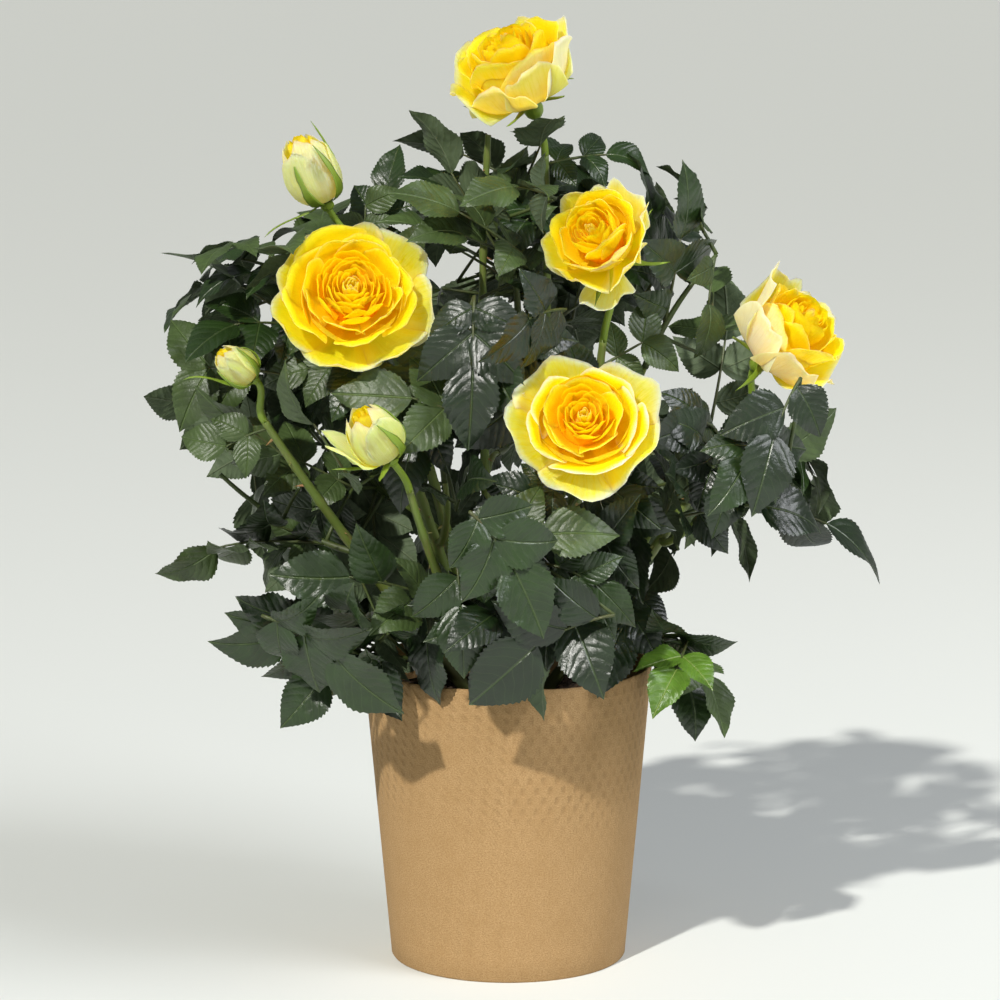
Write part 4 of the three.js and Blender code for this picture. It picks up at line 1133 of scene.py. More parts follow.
def numbers(seed):
    """The same stream of numbers from the same seed, between 0 and 1"""
    bits = 0xFFFFFFFF
    state = [seed & bits]

    def following():
        state[0] = (state[0] + 0x6D2B79F5) & bits
        a = state[0]
        t = ((a ^ (a >> 15)) * (1 | a)) & bits
        t = ((t + (((t ^ (t >> 7)) * (61 | t)) & bits)) & bits) ^ t
        return ((t ^ (t >> 14)) & bits) / (bits + 1)

    return following


def powers(points):
    """The squared distance of points from each mass less its size squared, least for the mass whose
    space a point is in"""
    return ((points[:, None] - CENTRES) ** 2).sum(2) - SPANS**2


def in_space(m, points, wall=WALL):
    """Whether points are nearer to a mass than to the walls of its space"""
    rise = powers(points)
    rise = rise - rise[:, m : m + 1]
    rise[:, m] = np.inf
    return (rise > 2 * wall * APART[m]).all(1)


def clear_of_pot(points):
    r, z = np.hypot(points[:, 0], points[:, 1]), points[:, 2]
    wall = wall_at(z)
    within = (r < wall - POT["wall"] - OFF_POT) & (z > SOIL_TOP + OFF_POT)
    return (z > POT["height"] + OFF_POT) | (r > wall + OFF_POT) | within


def half_width(half, share):
    """Half a leaflet's width at a share of its length, as the growth reckons it"""
    return half * np.clip(np.minimum(4.2 * share, 2.1 * (1 - share)), 0, 1)


def touches(leaflets, points, margins):
    """Whether each leaflet comes within a margin of each point. A row of leaflets is base, along,
    side and normal, then length and half width"""
    d = points[None] - leaflets[:, None, 0:3]
    y = (d * leaflets[:, None, 3:6]).sum(2)
    length, half = leaflets[:, 12:13], leaflets[:, 13:14]
    past = np.maximum(0, np.maximum(-y, y - length))
    edge = half_width(half, y / length)
    x = np.abs((d * leaflets[:, None, 6:9]).sum(2))
    z = (d * leaflets[:, None, 9:12]).sum(2) - np.minimum(x, edge) * FOLD
    return np.maximum(0, x - edge) ** 2 + past**2 + z**2 < margins**2


def on_leaflets(leaflets, shares, xs):
    """Points of leaflets at shares of their length and of their half width"""
    shares, xs = np.asarray(shares, float), np.asarray(xs, float)
    edge = half_width(leaflets[:, 13:14], shares) * xs
    along = leaflets[:, None, 3:6] * (leaflets[:, 12:13] * shares)[..., None]
    side = leaflets[:, None, 6:9] * edge[..., None]
    normal = leaflets[:, None, 9:12] * (np.abs(edge) * FOLD)[..., None]
    return leaflets[:, None, 0:3] + along + side + normal


RIM_SHARES = np.repeat([0.2, 0.4, 0.6, 0.8, 1.0], 3)
RIM_XS = np.tile([-0.9, 0, 0.9], 5)
POT_SHARES = np.repeat(np.arange(13) / 12, 3)
POT_XS = np.tile([-1.0, 0, 1.0], 13)


class Grown:
    """What has grown so far, and what it keeps clear of"""

    def __init__(self, m, middle, reach):
        near = (OWNERS != m) & (np.linalg.norm(OBSTACLES - middle, axis=1) < reach)
        self.obstacles, self.radii = OBSTACLES[near], OBSTACLE_R[near]
        self.leaflets = np.zeros((0, 14))
        self.points = np.zeros((0, 3))
        self.wall, self.ease = WALL, 1.0

    def add(self, leaflets, points):
        self.leaflets = np.vstack([self.leaflets, leaflets])
        self.points = np.vstack([self.points, points])


def line_fits(m, line, grown):
    """Whether points of a twig or a leaf's stalk keep to the space of a mass and clear of all else"""
    if not len(line):
        return True
    if not (in_space(m, line, grown.wall) & clear_of_pot(line)).all():
        return False
    gaps = np.linalg.norm(line[:, None] - grown.obstacles, axis=2)
    if (gaps < grown.radii + TWIG_OFF_LIMB * grown.ease).any():
        return False
    return not len(grown.leaflets) or not touches(grown.leaflets, line, TWIG_OFF_LEAF * grown.ease).any()


def fitting(m, leaflets, grown):
    """Which leaflets keep to the space of a mass and clear of all else"""
    corners = on_leaflets(leaflets, [1, WIDEST, WIDEST], [0, 1, -1])
    fits = in_space(m, corners.reshape(-1, 3), grown.wall).reshape(-1, 3).all(1)
    for i in np.nonzero(fits & (corners[..., 2] < POT["height"] + 20).any(1))[0]:
        fits[i] = clear_of_pot(on_leaflets(leaflets[i : i + 1], POT_SHARES, POT_XS)[0]).all()
    kept = np.nonzero(fits)[0]
    if len(kept):
        some = leaflets[kept]
        bad = touches(some, grown.obstacles, grown.radii + LEAF_OFF_LIMB * grown.ease).any(1)
        if len(grown.points):
            bad |= touches(some, grown.points, TWIG_OFF_LEAF * grown.ease).any(1)
        if len(grown.leaflets):
            rims = on_leaflets(some, RIM_SHARES, RIM_XS)
            hit = touches(grown.leaflets, rims.reshape(-1, 3), LEAF_OFF_LEAF * grown.ease)
            bad |= hit.any(0).reshape(len(some), -1).any(1)
        fits[kept[bad]] = False
    return fits


def twig_points(start, end):
    """Points every few millimetres along a straight twig, past its start"""
    count = math.ceil(np.linalg.norm(end - start) / STEP)
    return start + (end - start) * (np.arange(1, count + 1) / count)[:, None] if count else np.zeros((0, 3))


def arched(root, over, tip, t):
    """Points of the line on which a leaf's stalk and rib lie, from root to tip"""
    t = np.asarray(t, float)[..., None]
    return (1 - t) ** 2 * root + 2 * (1 - t) * t * over + t * t * tip


def compound_leaf(m, root, tip, face, length, grown):
    """One compound leaf from root to tip, or None if it doesn't fit"""
    far = np.linalg.norm(tip - root)
    out = unit(np.array([tip[0] - CROWN_CENTRE[0], tip[1] - CROWN_CENTRE[1], 0]))
    radial = max(0, unit(tip - root) @ out)
    over = (root + tip) / 2 + UP * far * ARCH + out * far * BULGE * radial
    long = (far + np.linalg.norm(over - root) + np.linalg.norm(tip - over)) / 2
    pairs = 2 if long > length * TWO_PAIRS else 1
    size = min(length, long / SHORTEST)
    if size < length * SMALLEST or long > length * LONGEST:
        return None
    nodes = arched(root, over, tip, 1 - np.array(NODES[: pairs + 1]) * size / long)
    steps = []
    t = 2 * STEP / long
    while t < 1 - size / long:
        steps.append(t)
        t += STEP / long
    stalk = arched(root, over, tip, steps) if steps else np.zeros((0, 3))
    if not line_fits(m, np.vstack([nodes, stalk]), grown):
        return None
    rows = []
    for k, base in enumerate(nodes):
        line = unit((nodes[k - 1] if k else tip) - base)
        normal = square_to(face, line)
        side = np.cross(line, normal)
        for hand in (-1, 1) if k else (0,):
            along = line * math.cos(ANGLES[k]) + side * hand * math.sin(ANGLES[k]) - UP * 0.12 * abs(hand)
            along = unit(along)
            facing = square_to(normal - side * 0.2 * hand, along)
            blade = size * SIZES[k]
            rows.append([*base, *along, *np.cross(along, facing), *facing, blade, blade * WIDTH / 2])
    leaflets = np.array(rows)
    fits = fitting(m, leaflets, grown)
    if not fits[0] or fits.sum() <= pairs:
        return None
    return {"root": root, "tip": tip, "over": over, "base": 1 - size / long,
            "leaflets": leaflets[fits], "stalk": stalk}


def in_outline(p):
    """Whether a point lies within the crown's outline, which is round in plan"""
    if p[2] < OUTLINE[0, 0] or p[2] > OUTLINE[-1, 0]:
        return False
    reach = np.interp(p[2], OUTLINE[:, 0], OUTLINE[:, 1 if p[0] < 0 else 2])
    deep = CROWN_REACH[1] * min(1, abs(reach) / 95)
    return (p[0] / reach) ** 2 + ((p[1] - CROWN_CENTRE[1]) / deep) ** 2 < 1.1


def outward(p):
    """The way out of the crown at a point"""
    return unit((p - CROWN_CENTRE) / CROWN_REACH**2)


def shoot_ends(count, depth, turn=0.0):
    """Where shoots end: points spread by the golden angle inside the crown"""
    ends = []
    for j in range(count):
        z = 1 - 2 * (j + 0.5) / count
        flat = math.sqrt(1 - z * z)
        way = np.array([math.cos(j * GOLDEN + turn) * flat, math.sin(j * GOLDEN + turn) * flat, z])
        end = CROWN_REACH * way * depth + CROWN_CENTRE
        if end[2] > POT["height"] + 4:
            ends.append(end)
    return ends


def nearest_on(curve, p):
    """The place on a stem, past its foot, that is nearest to a point"""
    points = curve.point(np.arange(13) / 12)[2:]
    return points[np.argmin(np.linalg.norm(points - p, axis=1))]


class Chance:
    """Numbers from one seed: a spread from -1 to 1, and a jitter of a point"""

    def __init__(self, seed):
        self.next = numbers(seed)

    def spread(self):
        return self.next() * 2 - 1

    def jitter(self, by):
        return np.array([self.spread(), self.spread(), self.spread()]) * by


def grow_leaf(m, allowed, propose, grown, chance, length=LENGTH, tries=TRIES, wild=0.3):
    """The best of several tries at one leaf, by how many of its leaflets fit"""
    best = None
    for k in range(tries):
        if best is not None and len(best["leaflets"]) == 5:
            break
        size = length * (1.04 + 0.08 * chance.spread() - 0.004 * k)
        start, root, tip = propose(k, size)
        face = outward(tip) + UP * 0.25 + chance.jitter(wild)
        if not allowed(tip) or not line_fits(m, twig_points(start, root), grown):
            continue
        leaf = compound_leaf(m, root, tip, face, size, grown)
        if leaf and len(leaf["leaflets"]) > (len(best["leaflets"]) if best else 0):
            best = {**leaf, "start": start}
    if best is None:
        return None
    spots = on_leaflets(best["leaflets"], [0.12, 0.34, 0.56, 0.78, 0.96], [0] * 5).reshape(-1, 3)
    twig = twig_points(best["start"], best["root"])
    grown.add(best["leaflets"], np.vstack([twig, spots, best["stalk"]]))
    return best


def whorl(m, stem, end, count, grown, chance, **habit):
    """A shoot from a stem to an end, and the leaves round that end"""
    start = nearest_on(stem, end)
    shoot = twig_points(start, end)
    if not line_fits(m, shoot, grown):
        return []
    back = unit(start - end)
    out = outward(end)
    turn = chance.next() * 2 * math.pi
    right = square_to(np.array([-out[1], out[0], 0.01]), out)
    up = np.cross(out, right)
    leaves = []
    for i in range(count):

        def round_shoot(k, size):
            angle = turn + i * 2 * math.pi / count + 0.5 * chance.spread()
            flat = right * math.cos(angle) + up * math.sin(angle)
            way = unit(flat + out * (0.45 + 0.3 * chance.spread()) - UP * 0.15)
            root = end + back * min(4 * i, np.linalg.norm(end - start) * 0.8)
            return root, root, root + way * size * (1.95 + 0.25 * chance.spread() - 0.009 * k)

        leaves.append(grow_leaf(m, in_outline, round_shoot, grown, chance, **habit))
    leaves = [{**leaf, "twig": (start, end)} for leaf in leaves if leaf is not None]
    if leaves:
        grown.add(np.zeros((0, 14)), shoot)
    return leaves


def reaching(target, stem, grown, chance, m, length=LENGTH):
    """A leaf whose tip reaches a point of the crown's outline"""
    target = np.array(target, float)

    def aimed(k, size):
        tip = target + chance.jitter(0.15 * k)
        start = stem.point(0.12 + 0.88 * chance.next())
        far = np.linalg.norm(tip - start)
        straight = unit(tip - start)
        if far > size * 1.7 or abs(tip[1]) < 60:
            return start, start + straight * max(0, far - size * 2.3), tip
        out = outward(tip)
        hang = unit(square_to(chance.jitter(1) - UP * 0.8, out) + out * 0.3)
        root = tip - hang * 1.9 * size
        return nearest_on(stem, root), root, tip

    return grow_leaf(m, lambda tip: True, aimed, grown, chance, length)


# First the leaves whose tips reach the outline, and the whorls of the main shoots
plants = []
for m, (name, (centre, size, on, at, tips)) in enumerate(MASSES.items()):
    chance, leaves = Chance(11 + 101 * m), []
    grown = Grown(m, CENTRES[m], SPANS[m] + 130)
    for target in tips:
        leaf = reaching(target, stems[m], grown, chance, m)
        if leaf is not None:
            leaves.append({**leaf, "twig": (leaf["start"], leaf["root"])})
    for end in shoot_ends(SHOOTS, DEPTH):
        if np.argmin(powers(end[None])[0]) == m:
            leaves += whorl(m, stems[m], end, WHORL, grown, chance)
    plants.append({"leaves": leaves, "main": len(leaves), "grown": grown})

# The crown is open in places: lines from a little above in front, each by where it passes the
# middle of the plant, in x and z, and the radius that stays open round it
SIGHT = np.array([-3.8, -1554.0, 442.0])
OPEN_SKY = [
    (-6, 301, 5), (32, 297, 5), (58, 278, 10), (-45, 246, 7), (-88, 229, 8), (118, 193, 9),
    (152, 212, 9), (96, 248, 7), (-132, 172, 8), (14, 262, 6), (-108, 334, 7), (93, 345, 8),
    (101, 327, 9), (107, 311, 8), (97, 296, 7), (77, 169, 8), (90, 161, 10), (103, 154, 10),
    (97, 148, 5), (100, 131, 8), (120, 180, 9), (110, 193, 7), (99, 194, 6), (113, 160, 9),
    (115, 142, 9), (-126, 216, 8), (-121, 204, 7), (-150, 197, 6), (-149, 229, 7), (-16, 314, 9),
    (-45, 265, 7), (-111, 290, 7), (63, 276, 6), (36, 383, 7), (24, 379, 5), (72, 365, 8),
    (63, 350, 6), (86, 296, 8), (137, 229, 8),
]
# Canes that show in front of the foliage, and the share of their length from which they do
SEEN = {"cane_left_low": 0.64, "cane_front_left": 0.76}
SEEN_ROOM = 5.5


def in_sky(points, share=1.0):
    """Whether points lie in one of the open places"""
    hidden = np.zeros(len(points), bool)
    for x, z, radius in OPEN_SKY:
        line = unit(np.array([x, 0.0, z]) - SIGHT)
        d = points - SIGHT
        hidden |= np.linalg.norm(d - (d @ line)[:, None] * line, axis=1) < radius * share
    return hidden


def in_front(points):
    """Whether points would hide a flower, or a cane that shows"""
    hidden = np.zeros(len(points), bool)
    d = points - SIGHT
    spots = [(base + axis * depth * 0.5, radius * 0.9) for base, axis, radius, depth in hearts]
    for name, first in SEEN.items():
        spots += [(p, SEEN_ROOM) for p in LIMBS[name][0].at(np.linspace(first, 1, 14))]
    for p, room in spots:
        line = unit(p - SIGHT)
        far = d @ line
        near = np.linalg.norm(d - far[:, None] * line, axis=1) < room
        hidden |= near & (far < np.linalg.norm(p - SIGHT))
    return hidden


def past_outline(points):
    """Whether points lie beyond the crown's outline as it shows from the front"""
    reach = np.interp(points[:, 2], OUTLINE[:, 0], OUTLINE[:, 1])
    other = np.interp(points[:, 2], OUTLINE[:, 0], OUTLINE[:, 2])
    return np.abs(points[:, 0]) > np.where(points[:, 0] < 0, -reach, other) + 6


def in_flower(points, room):
    """Whether points lie in a flower, with some room in millimetres round its petals"""
    hidden = np.zeros(len(points), bool)
    for base, axis, radius, depth in hearts:
        high = (points - base) @ axis
        flat = np.linalg.norm(points - base - high[:, None] * axis, axis=1)
        wide = radius * np.interp(high / depth, [-0.1, 0.1, 0.6, 1.1], [0.4, 0.85, 1.05, 0.85])
        hidden |= (high > -room) & (high < depth * 1.1 + room) & (flat < wide + room)
    return hidden


# All that has grown so far
crown = {
    "leaflets": np.vstack([plant["grown"].leaflets for plant in plants]),
    "points": np.vstack([plant["grown"].points for plant in plants]),
}
# How near a limb, a leaflet's foot and a point of a twig have to be to count as near a place
LIMBS_WITHIN, LEAFLETS_WITHIN, POINTS_WITHIN = 110, 105, 85


def nearby(m, middle):
    """What has grown near a place, and how many leaflets and points it has. Finer leaves may come
    closer to it than the first ones do."""
    grown = Grown(m, middle, LIMBS_WITHIN)
    grown.wall, grown.ease = -4, 0.6
    close = np.linalg.norm(crown["leaflets"][:, :3] - middle, axis=1) < LEAFLETS_WITHIN
    beside = np.linalg.norm(crown["points"] - middle, axis=1) < POINTS_WITHIN
    grown.add(crown["leaflets"][close], crown["points"][beside])
    return grown, close.sum(), beside.sum()


def settle(m, grown, leaflets, points, leaves):
    """Keep the leaves that have just grown, past the leaflets and points that were there before"""
    plants[m]["leaves"] += leaves
    crown["leaflets"] = np.vstack([crown["leaflets"], grown.leaflets[leaflets:]])
    crown["points"] = np.vstack([crown["points"], grown.points[points:]])


# Then come leaves whose tips reach places that the photo shows filled
FILLED = [
    [-49, 10, 362], [-164, -20, 261], [149, -10, 237], [141, -20, 221], [-61, -60, 246], [-48, -80, 213],
    [-4, -85, 220], [-23, -70, 237], [-106, -50, 171], [-113, -20, 175], [25, -40, 278], [79, -20, 273],
    [58, 0, 359], [-40, 0, 370], [7, 0, 363], [-45, -20, 336], [90, -60, 151], [-89, -60, 190],
    [-76, -70, 157], [90, -50, 117], [46, -90, 170], [21, -100, 180], [-29, -95, 162], [-16, -95, 196],
    [2, -80, 137],
]
chance = Chance(5)
for tip in np.array(FILLED, float):
    m = int(np.argmin(powers(tip[None])[0]))
    grown, leaflets, points = nearby(m, tip)
    leaf = reaching(tip, stems[m], grown, chance, m, 33)
    if leaf is not None:
        settle(m, grown, leaflets, points, [{**leaf, "twig": (leaf["start"], leaf["root"])}])


def leaf_from_cane(name, share, tip, length):
    """A leaf that grows straight from a cane, at a share of the cane's length"""
    tip = np.array(tip, float)
    m = int(np.argmin(powers(tip[None])[0]))
    grown = Grown(m, tip, 0)
    grown.wall = -80
    root = LIMBS[name][0].at(share)
    leaf = compound_leaf(m, root, tip, outward(tip) + np.array([0, -1.0, 0.3]), length, grown)
    if leaf is not None:
        grown.add(leaf["leaflets"], on_leaflets(leaf["leaflets"], [0.34, 0.78], [0, 0]).reshape(-1, 3))
        settle(m, grown, 0, 0, [{**leaf, "start": root, "twig": (root, root)}])


# Some leaves grow straight from the canes below the flowers: the cane, how far up it, the tip of the
# leaf and its leaflets' length. The last ones wait until the finer twigs have grown.
CANE_LEAVES = [
    ("cane_upper_left", 0.93, [-48, 5, 362], 26), ("cane_right", 0.93, [148, -12, 237], 27),
    ("cane_top", 0.98, [59, 2, 357], 24), ("cane_left_low", 0.97, [-143, -52, 210], 28),
    ("cane_left_low", 0.8, [-70, -66, 216], 25), ("cane_left", 0.93, [-104, -20, 262], 25),
    ("cane_centre_right", 0.92, [84, -26, 292], 26), ("cane_front", 0.9, [60, -96, 214], 26),
    ("cane_left", 0.86, [-164, -20, 261], 33), ("cane_top", 0.9, [-4, -30, 318], 27),
    ("cane_centre_right", 0.7, [27, -40, 282], 26), ("cane_left", 0.98, [-38, -40, 331], 26),
]
LAST_LEAVES = [("cane_left", 0.86, [-164, -20, 261], 38), ("cane_upper_left", 0.95, [-61, -5, 364], 22)]
for cane_leaf in CANE_LEAVES:
    leaf_from_cane(*cane_leaf)

# Then finer twigs fill in between, with smaller leaves that lie every way: how many shoots, how far
# out they end, how far round they start, and the length of their leaflets
FINER = [
    (60, 0.84, 1.3, 33), (44, 0.62, 2.6, 32), (60, 0.9, 0.4, 29), (40, 0.48, 3.9, 30), (40, 0.76, 5.1, 29),
]
for count, depth, turned_by, length in FINER:
    for end in shoot_ends(count, depth, turned_by):
        m = int(np.argmin(powers(end[None])[0]))
        grown, leaflets, points = nearby(m, end)
        some = whorl(m, stems[m], end, 4, grown, chance, length=length, tries=12, wild=0.75)
        drawn = on_leaflets(grown.leaflets[leaflets:], RIM_SHARES, RIM_XS).reshape(-1, 3)
        if some and in_sky(drawn).mean() < 0.35 and not in_flower(drawn, 3).any():
            settle(m, grown, leaflets, points, some)
for cane_leaf in LAST_LEAVES:
    leaf_from_cane(*cane_leaf)

# How each leaflet is drawn: its teeth on a side, and its rows of faces along the rib
TEETH, ROWS = 16, 8


def leaflet_pattern():
    """A leaflet's points as shares along and across, and their faces: a rib, a line half way to each
    edge, and an outline of forward teeth. The underside shares the outline and has its own rib."""
    s, x, level = [0.0, 1.0], [0.0, 0.0], [0, 0]
    ids = {}

    def put(key, share, across, side):
        ids[key] = len(s)
        s.append(share)
        x.append(across)
        level.append(side)

    for hand in (-1, 1):
        for j in range(1, 2 * TEETH):
            tooth = j % 2 == 1
            put(("edge", hand, j), j / (2 * TEETH) + 0.014 * tooth, hand * (1.035 if tooth else 0.955), 0)
    for i in range(1, ROWS):
        put(("rib", i), i / ROWS, 0.0, 1)
        put(("under", i), i / ROWS, 0.0, -1)
        for hand in (-1, 1):
            put(("half", hand, i), i / ROWS, hand * 0.52, 1)

    def at(kind, i, hand=None):
        if i in (0, ROWS):
            return 0 if i == 0 else 1
        return ids[(kind, hand, i)] if hand else ids[(kind, i)]

    def rim(hand, j):
        return 0 if j == 0 else 1 if j == 2 * TEETH else ids[("edge", hand, j)]

    faces, sides = [], []

    def face(corners, hand, side):
        corners = list(dict.fromkeys(corners))
        if len(corners) > 2:
            faces.append(np.array(corners if (hand > 0) == (side == 0) else corners[::-1]))
            sides.append(side)

    step = 2 * TEETH // ROWS
    for hand in (-1, 1):
        for i in range(ROWS):
            face((at("rib", i), at("half", i, hand), at("half", i + 1, hand), at("rib", i + 1)), hand, 0)
            for kind, side in (("half", 0), ("under", 1)):
                mark = hand if kind == "half" else None
                a, b = at(kind, i, mark), at(kind, i + 1, mark)
                edges = [rim(hand, step * i + j) for j in range(step + 1)]
                middle = step // 2
                if kind == "under" and i in (0, ROWS - 1):
                    middle = 0 if i == 0 else step
                for j in range(middle):
                    face((a, edges[j], edges[j + 1]), hand, side)
                face((a, edges[middle], b), hand, side)
                for j in range(middle, step):
                    face((b, edges[j], edges[j + 1]), hand, side)
    return np.array(s), np.array(x), np.array(level), faces, np.array(sides)


PATTERN_S, PATTERN_X, PATTERN_LEVEL, PATTERN_FACES, PATTERN_SIDES = leaflet_pattern()
OVAL_S = [0, 0.03, 0.08, 0.16, 0.26, 0.36, 0.46, 0.56, 0.66, 0.75, 0.83, 0.9, 0.95, 1]
OVAL_W = [0, 0.26, 0.52, 0.8, 0.96, 1.0, 0.97, 0.87, 0.72, 0.55, 0.38, 0.21, 0.09, 0]


def width_share(s):
    """How wide a leaflet is along its length: round at its foot, widest before its middle, pointed"""
    return np.interp(s, OVAL_S, OVAL_W)


def draw_leaflet(foliage, leaflet, slot, rng, young):
    """One leaflet as a closed shell, bent back along its length, folded up along its rib, and with
    wavy edges"""
    base, along, side, normal = leaflet[0:3], leaflet[3:6], leaflet[6:9], leaflet[9:12]
    length, half = leaflet[12], leaflet[13] * rng.uniform(0.84, 1.0)
    s, x = PATTERN_S, PATTERN_X
    width = half * width_share(s) * x
    bend = rng.uniform(0.3, 1.2)
    fold = FOLD + rng.uniform(-0.04, 0.42) + (0.2 if young else 0)
    lift = bend * 0.32
    y = length * (np.sin(bend * s - lift) + math.sin(lift)) / bend
    z = length * (np.cos(bend * s - lift) - math.cos(lift)) / bend
    edge = np.abs(x)
    z = z + fold * np.abs(width) * (1 - 0.45 * edge)
    wave = np.sin(s * rng.uniform(9, 15) + rng.uniform(0, 6.28) + np.sign(x) * rng.uniform(0.3, 1.5))
    z = z + rng.uniform(0.015, 0.05) * length * wave * edge**2 * np.sin(math.pi * np.clip(s, 0, 1)) ** 0.7
    z = z + PATTERN_LEVEL * 0.22
    turn = rng.uniform(-0.6, 0.6) * s
    bow = rng.uniform(-0.12, 0.12) * length * s**2
    across = width * np.cos(turn) - z * np.sin(turn) * 0.3 + bow
    z = z + width * np.sin(turn)
    points = base + along * y[:, None] + side * across[:, None] + normal * z[:, None]
    uv = np.stack([0.5 + 0.5 * width_share(s) * x, s], 1)
    slots = np.where(PATTERN_SIDES == 0, slot, 4 + (slot > 2))
    foliage.add(points, PATTERN_FACES, uv, slots)


def leaf_finish(name, colour, vein, rough, gloss, under=False):
    """A leaf's skin: colour clouded a little, a pale rib, and side veins pressed in above or raised
    beneath, with the skin swollen between them"""
    made = material(name, colour, rough, Specular_IOR_Level=gloss)
    parts = node(made, "ShaderNodeSeparateXYZ", uv_place(made))
    across = sum_of(made, "ABSOLUTE", sum_of(made, "SUBTRACT", parts.outputs[0], 0.5))
    swing = sum_of(made, "MULTIPLY", sum_of(made, "POWER", across, 1.4), 7.0)
    wobble = sum_of(made, "MULTIPLY", noise(made, object_place(made), 120, 1), 0.7)
    forward = sum_of(made, "SUBTRACT", sum_of(made, "MULTIPLY", parts.outputs[1], 7.5), swing)
    phase = sum_of(made, "ADD", forward, wobble)
    ridge = sum_of(made, "PINGPONG", phase, 0.5)
    blister = ramp(made, ridge, -0.12, 0.42)
    rib = ramp(made, across, 0.0, 0.03)
    skin = noise(made, object_place(made), 1000, 2, 0.6)
    clouded = noise(made, object_place(made), 85, 2)
    tone = tuple(c * 1.5 for c in colour)
    body = blended(made, ramp(made, clouded, 0.35, 0.7), colour, tone)
    fine = sum_of(made, "SUBTRACT", 1.0, ramp(made, ridge, 0.0, 0.05))
    lined = blended(made, sum_of(made, "MULTIPLY", fine, 0.5 if under else 0.32), body, vein)
    ribbed = blended(made, sum_of(made, "MULTIPLY", sum_of(made, "SUBTRACT", 1.0, rib), 0.75), lined, vein)
    link(made, ribbed, "Base Color")
    height = sum_of(made, "ADD", sum_of(made, "MULTIPLY", blister, -0.5 if under else 0.36),
                    sum_of(made, "MULTIPLY", rib, -1.0 if under else 1.0))
    swollen = sum_of(made, "MULTIPLY", noise(made, object_place(made), 170, 1), 1.3)
    quilted = sum_of(made, "ADD", height, swollen)
    relief(made, sum_of(made, "ADD", quilted, sum_of(made, "MULTIPLY", skin, 0.4)), 0.7, 0.0006)
    return made


leaf_dark = leaf_finish("leaf_dark", (0.0055, 0.0145, 0.003), (0.045, 0.075, 0.02), 0.35, 0.68)
leaf_deep = leaf_finish("leaf_deep", (0.0125, 0.029, 0.005), (0.06, 0.095, 0.025), 0.36, 0.62)
leaf_mid = leaf_finish("leaf_mid", (0.038, 0.062, 0.017), (0.09, 0.14, 0.04), 0.42, 0.46)
leaf_young = leaf_finish("leaf_young", (0.06, 0.125, 0.012), (0.22, 0.30, 0.07), 0.38, 0.5)
under_dull = leaf_finish("under_dull", (0.060, 0.085, 0.042), (0.12, 0.15, 0.08), 0.6, 0.3, True)
under_fresh = leaf_finish("under_fresh", (0.16, 0.22, 0.075), (0.24, 0.28, 0.12), 0.6, 0.3, True)
LEAF_SKINS = [leaf_dark, leaf_deep, leaf_mid, leaf_young, under_dull, under_fresh]
red_stalk = stem_finish("red_stalk", (0.055, 0.08, 0.02), (0.10, 0.045, 0.025), 0.45)
twig_bark = stem_finish("twig_bark", (0.055, 0.085, 0.018), (0.085, 0.065, 0.025), 0.5)

# A leaf is low if its tip is under a height, and sunlit if that is over another or far to the left.
# For both and for the rest of the crown, the shares of the dark, deep and mid skins. The paler mid
# skin dealt to sunlit leaves is painted sunlight, and the dark skin dealt to the inner crown is painted
# shade.
LOW_UNDER, SUNLIT_OVER, SUNLIT_LEFT = 150, 290, -55
LOW_MIX, SUNLIT_MIX, SHADED_INNER_MIX = (0.36, 0.36, 0.28), (0.14, 0.36, 0.50), (0.52, 0.36, 0.12)
# Some of the low finer leaves are young and pale
YOUNG_SKIN, YOUNG_SHARE = 3, 0.12
# A stem whose tip shows in an open place bears no leaves this near to it
BARE_TIP = 12


def left_out(leaf, aimed):
    """Which leaflets of a leaf are left out: those in an open place or a flower, or in front of what
    shows. Past the crown's outline, only a leaf that is aimed there keeps its leaflets."""
    rims = on_leaflets(leaf["leaflets"], RIM_SHARES, RIM_XS)
    count, points = len(rims), rims.reshape(-1, 3)
    hidden = in_sky(points).reshape(count, -1).mean(1) > 0.3
    hidden |= in_flower(points, 0).reshape(count, -1).any(1)
    hidden |= in_front(points).reshape(count, -1).any(1)
    if not aimed:
        hidden |= past_outline(points).reshape(count, -1).sum(1) > 2
    return hidden


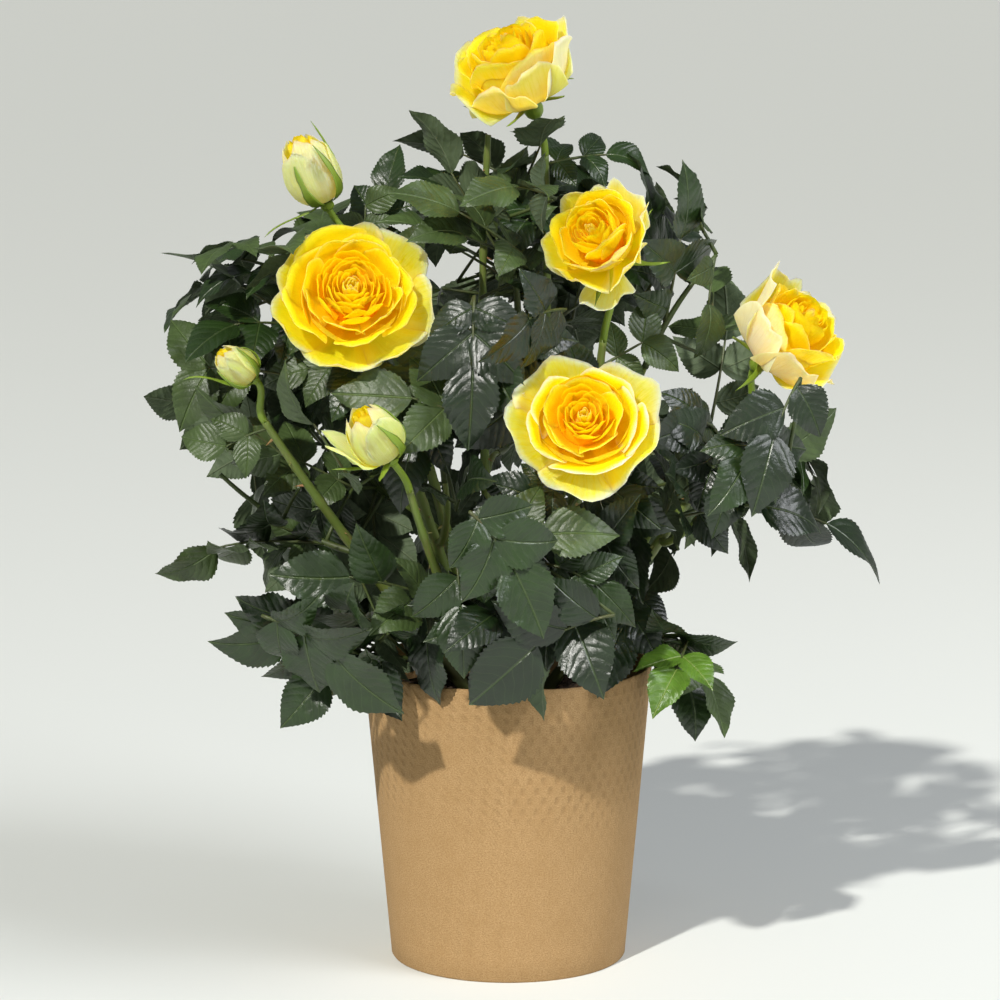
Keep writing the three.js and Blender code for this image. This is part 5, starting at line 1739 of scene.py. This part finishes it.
for m, name in enumerate(MASSES):
    twigs, aimed, main = {}, len(MASSES[name][4]), plants[m]["main"]
    rng = np.random.default_rng(500 + m)
    foliage, wood = Gathered(), Gathered()
    stem_tip = stems[m].at(1.0)
    bare = BARE_TIP if in_sky(stem_tip[None], 1.3)[0] else 0
    for number, leaf in enumerate(plants[m]["leaves"]):
        start, end = leaf["twig"]
        if np.linalg.norm(start - stem_tip) < bare:
            continue
        low = leaf["tip"][2] < LOW_UNDER
        sunlit = leaf["tip"][0] < SUNLIT_LEFT or leaf["tip"][2] > SUNLIT_OVER
        young = number >= main and low and rng.random() < YOUNG_SHARE
        # Painted light and shade: sunlit leaves take paler skins, and leaves inside the crown take darker
        # ones
        mix = LOW_MIX if low else SUNLIT_MIX if sunlit else SHADED_INNER_MIX
        slot = YOUNG_SKIN if young else int(rng.choice([0, 1, 2], p=mix))
        hidden = left_out(leaf, number < aimed)
        if (~hidden).sum() < 2 + hidden[0] or in_sky(leaf["root"][None], 1.2)[0]:
            continue
        reach = np.linalg.norm(leaf["root"] - start)
        twigs[(*start, *end)] = max(reach, twigs.get((*start, *end), 0))
        end_share = 1 - (1 - leaf["base"]) * NODES[int(hidden[0])]
        steps = np.linspace(0, max(end_share, 0) + 0.01, 9)
        path = arched(leaf["root"], leaf["over"], leaf["tip"], steps)
        wood.add(*tube(path, np.linspace(0.8, 0.45, 9), 6), 1)
        for leaflet in leaf["leaflets"][~hidden]:
            draw_leaflet(foliage, leaflet, slot, rng, young)

    # The stem goes on as far as its last twig, and each twig as far as its last leaf
    along_stem = stems[m].at(np.linspace(0, 1, 25))
    last = 0.2
    for ends, reach in twigs.items():
        start, end = np.array(ends[:3]), np.array(ends[3:])
        last = max(last, np.argmin(np.linalg.norm(along_stem - start, axis=1)) / 24)
        if reach > 0.1:
            end = start + unit(end - start) * reach
            mid = (start + end) / 2 + rng.uniform(-0.06, 0.06, 3) * np.linalg.norm(end - start)
            path = Bend(start, mid, end).at(np.linspace(0, 1, 5))
            wood.add(*tube(path, np.linspace(1.0, 0.7, 5), 7))
    path = stems[m].at(np.linspace(0, last, 12))
    path = np.vstack([path[0] - (path[1] - path[0]) * 0.4, path])
    wood.add(*tube(path, np.concatenate([[STEM[0]], np.linspace(STEM[0], 0.9, 12)]), 9))
    short = name.replace("foliage_", "")
    piece(foliage.mesh("leaves_" + short, LEAF_SKINS), "green_leaf", name)
    piece(wood.mesh("twigs_" + short, [twig_bark, red_stalk]), "green_bark")
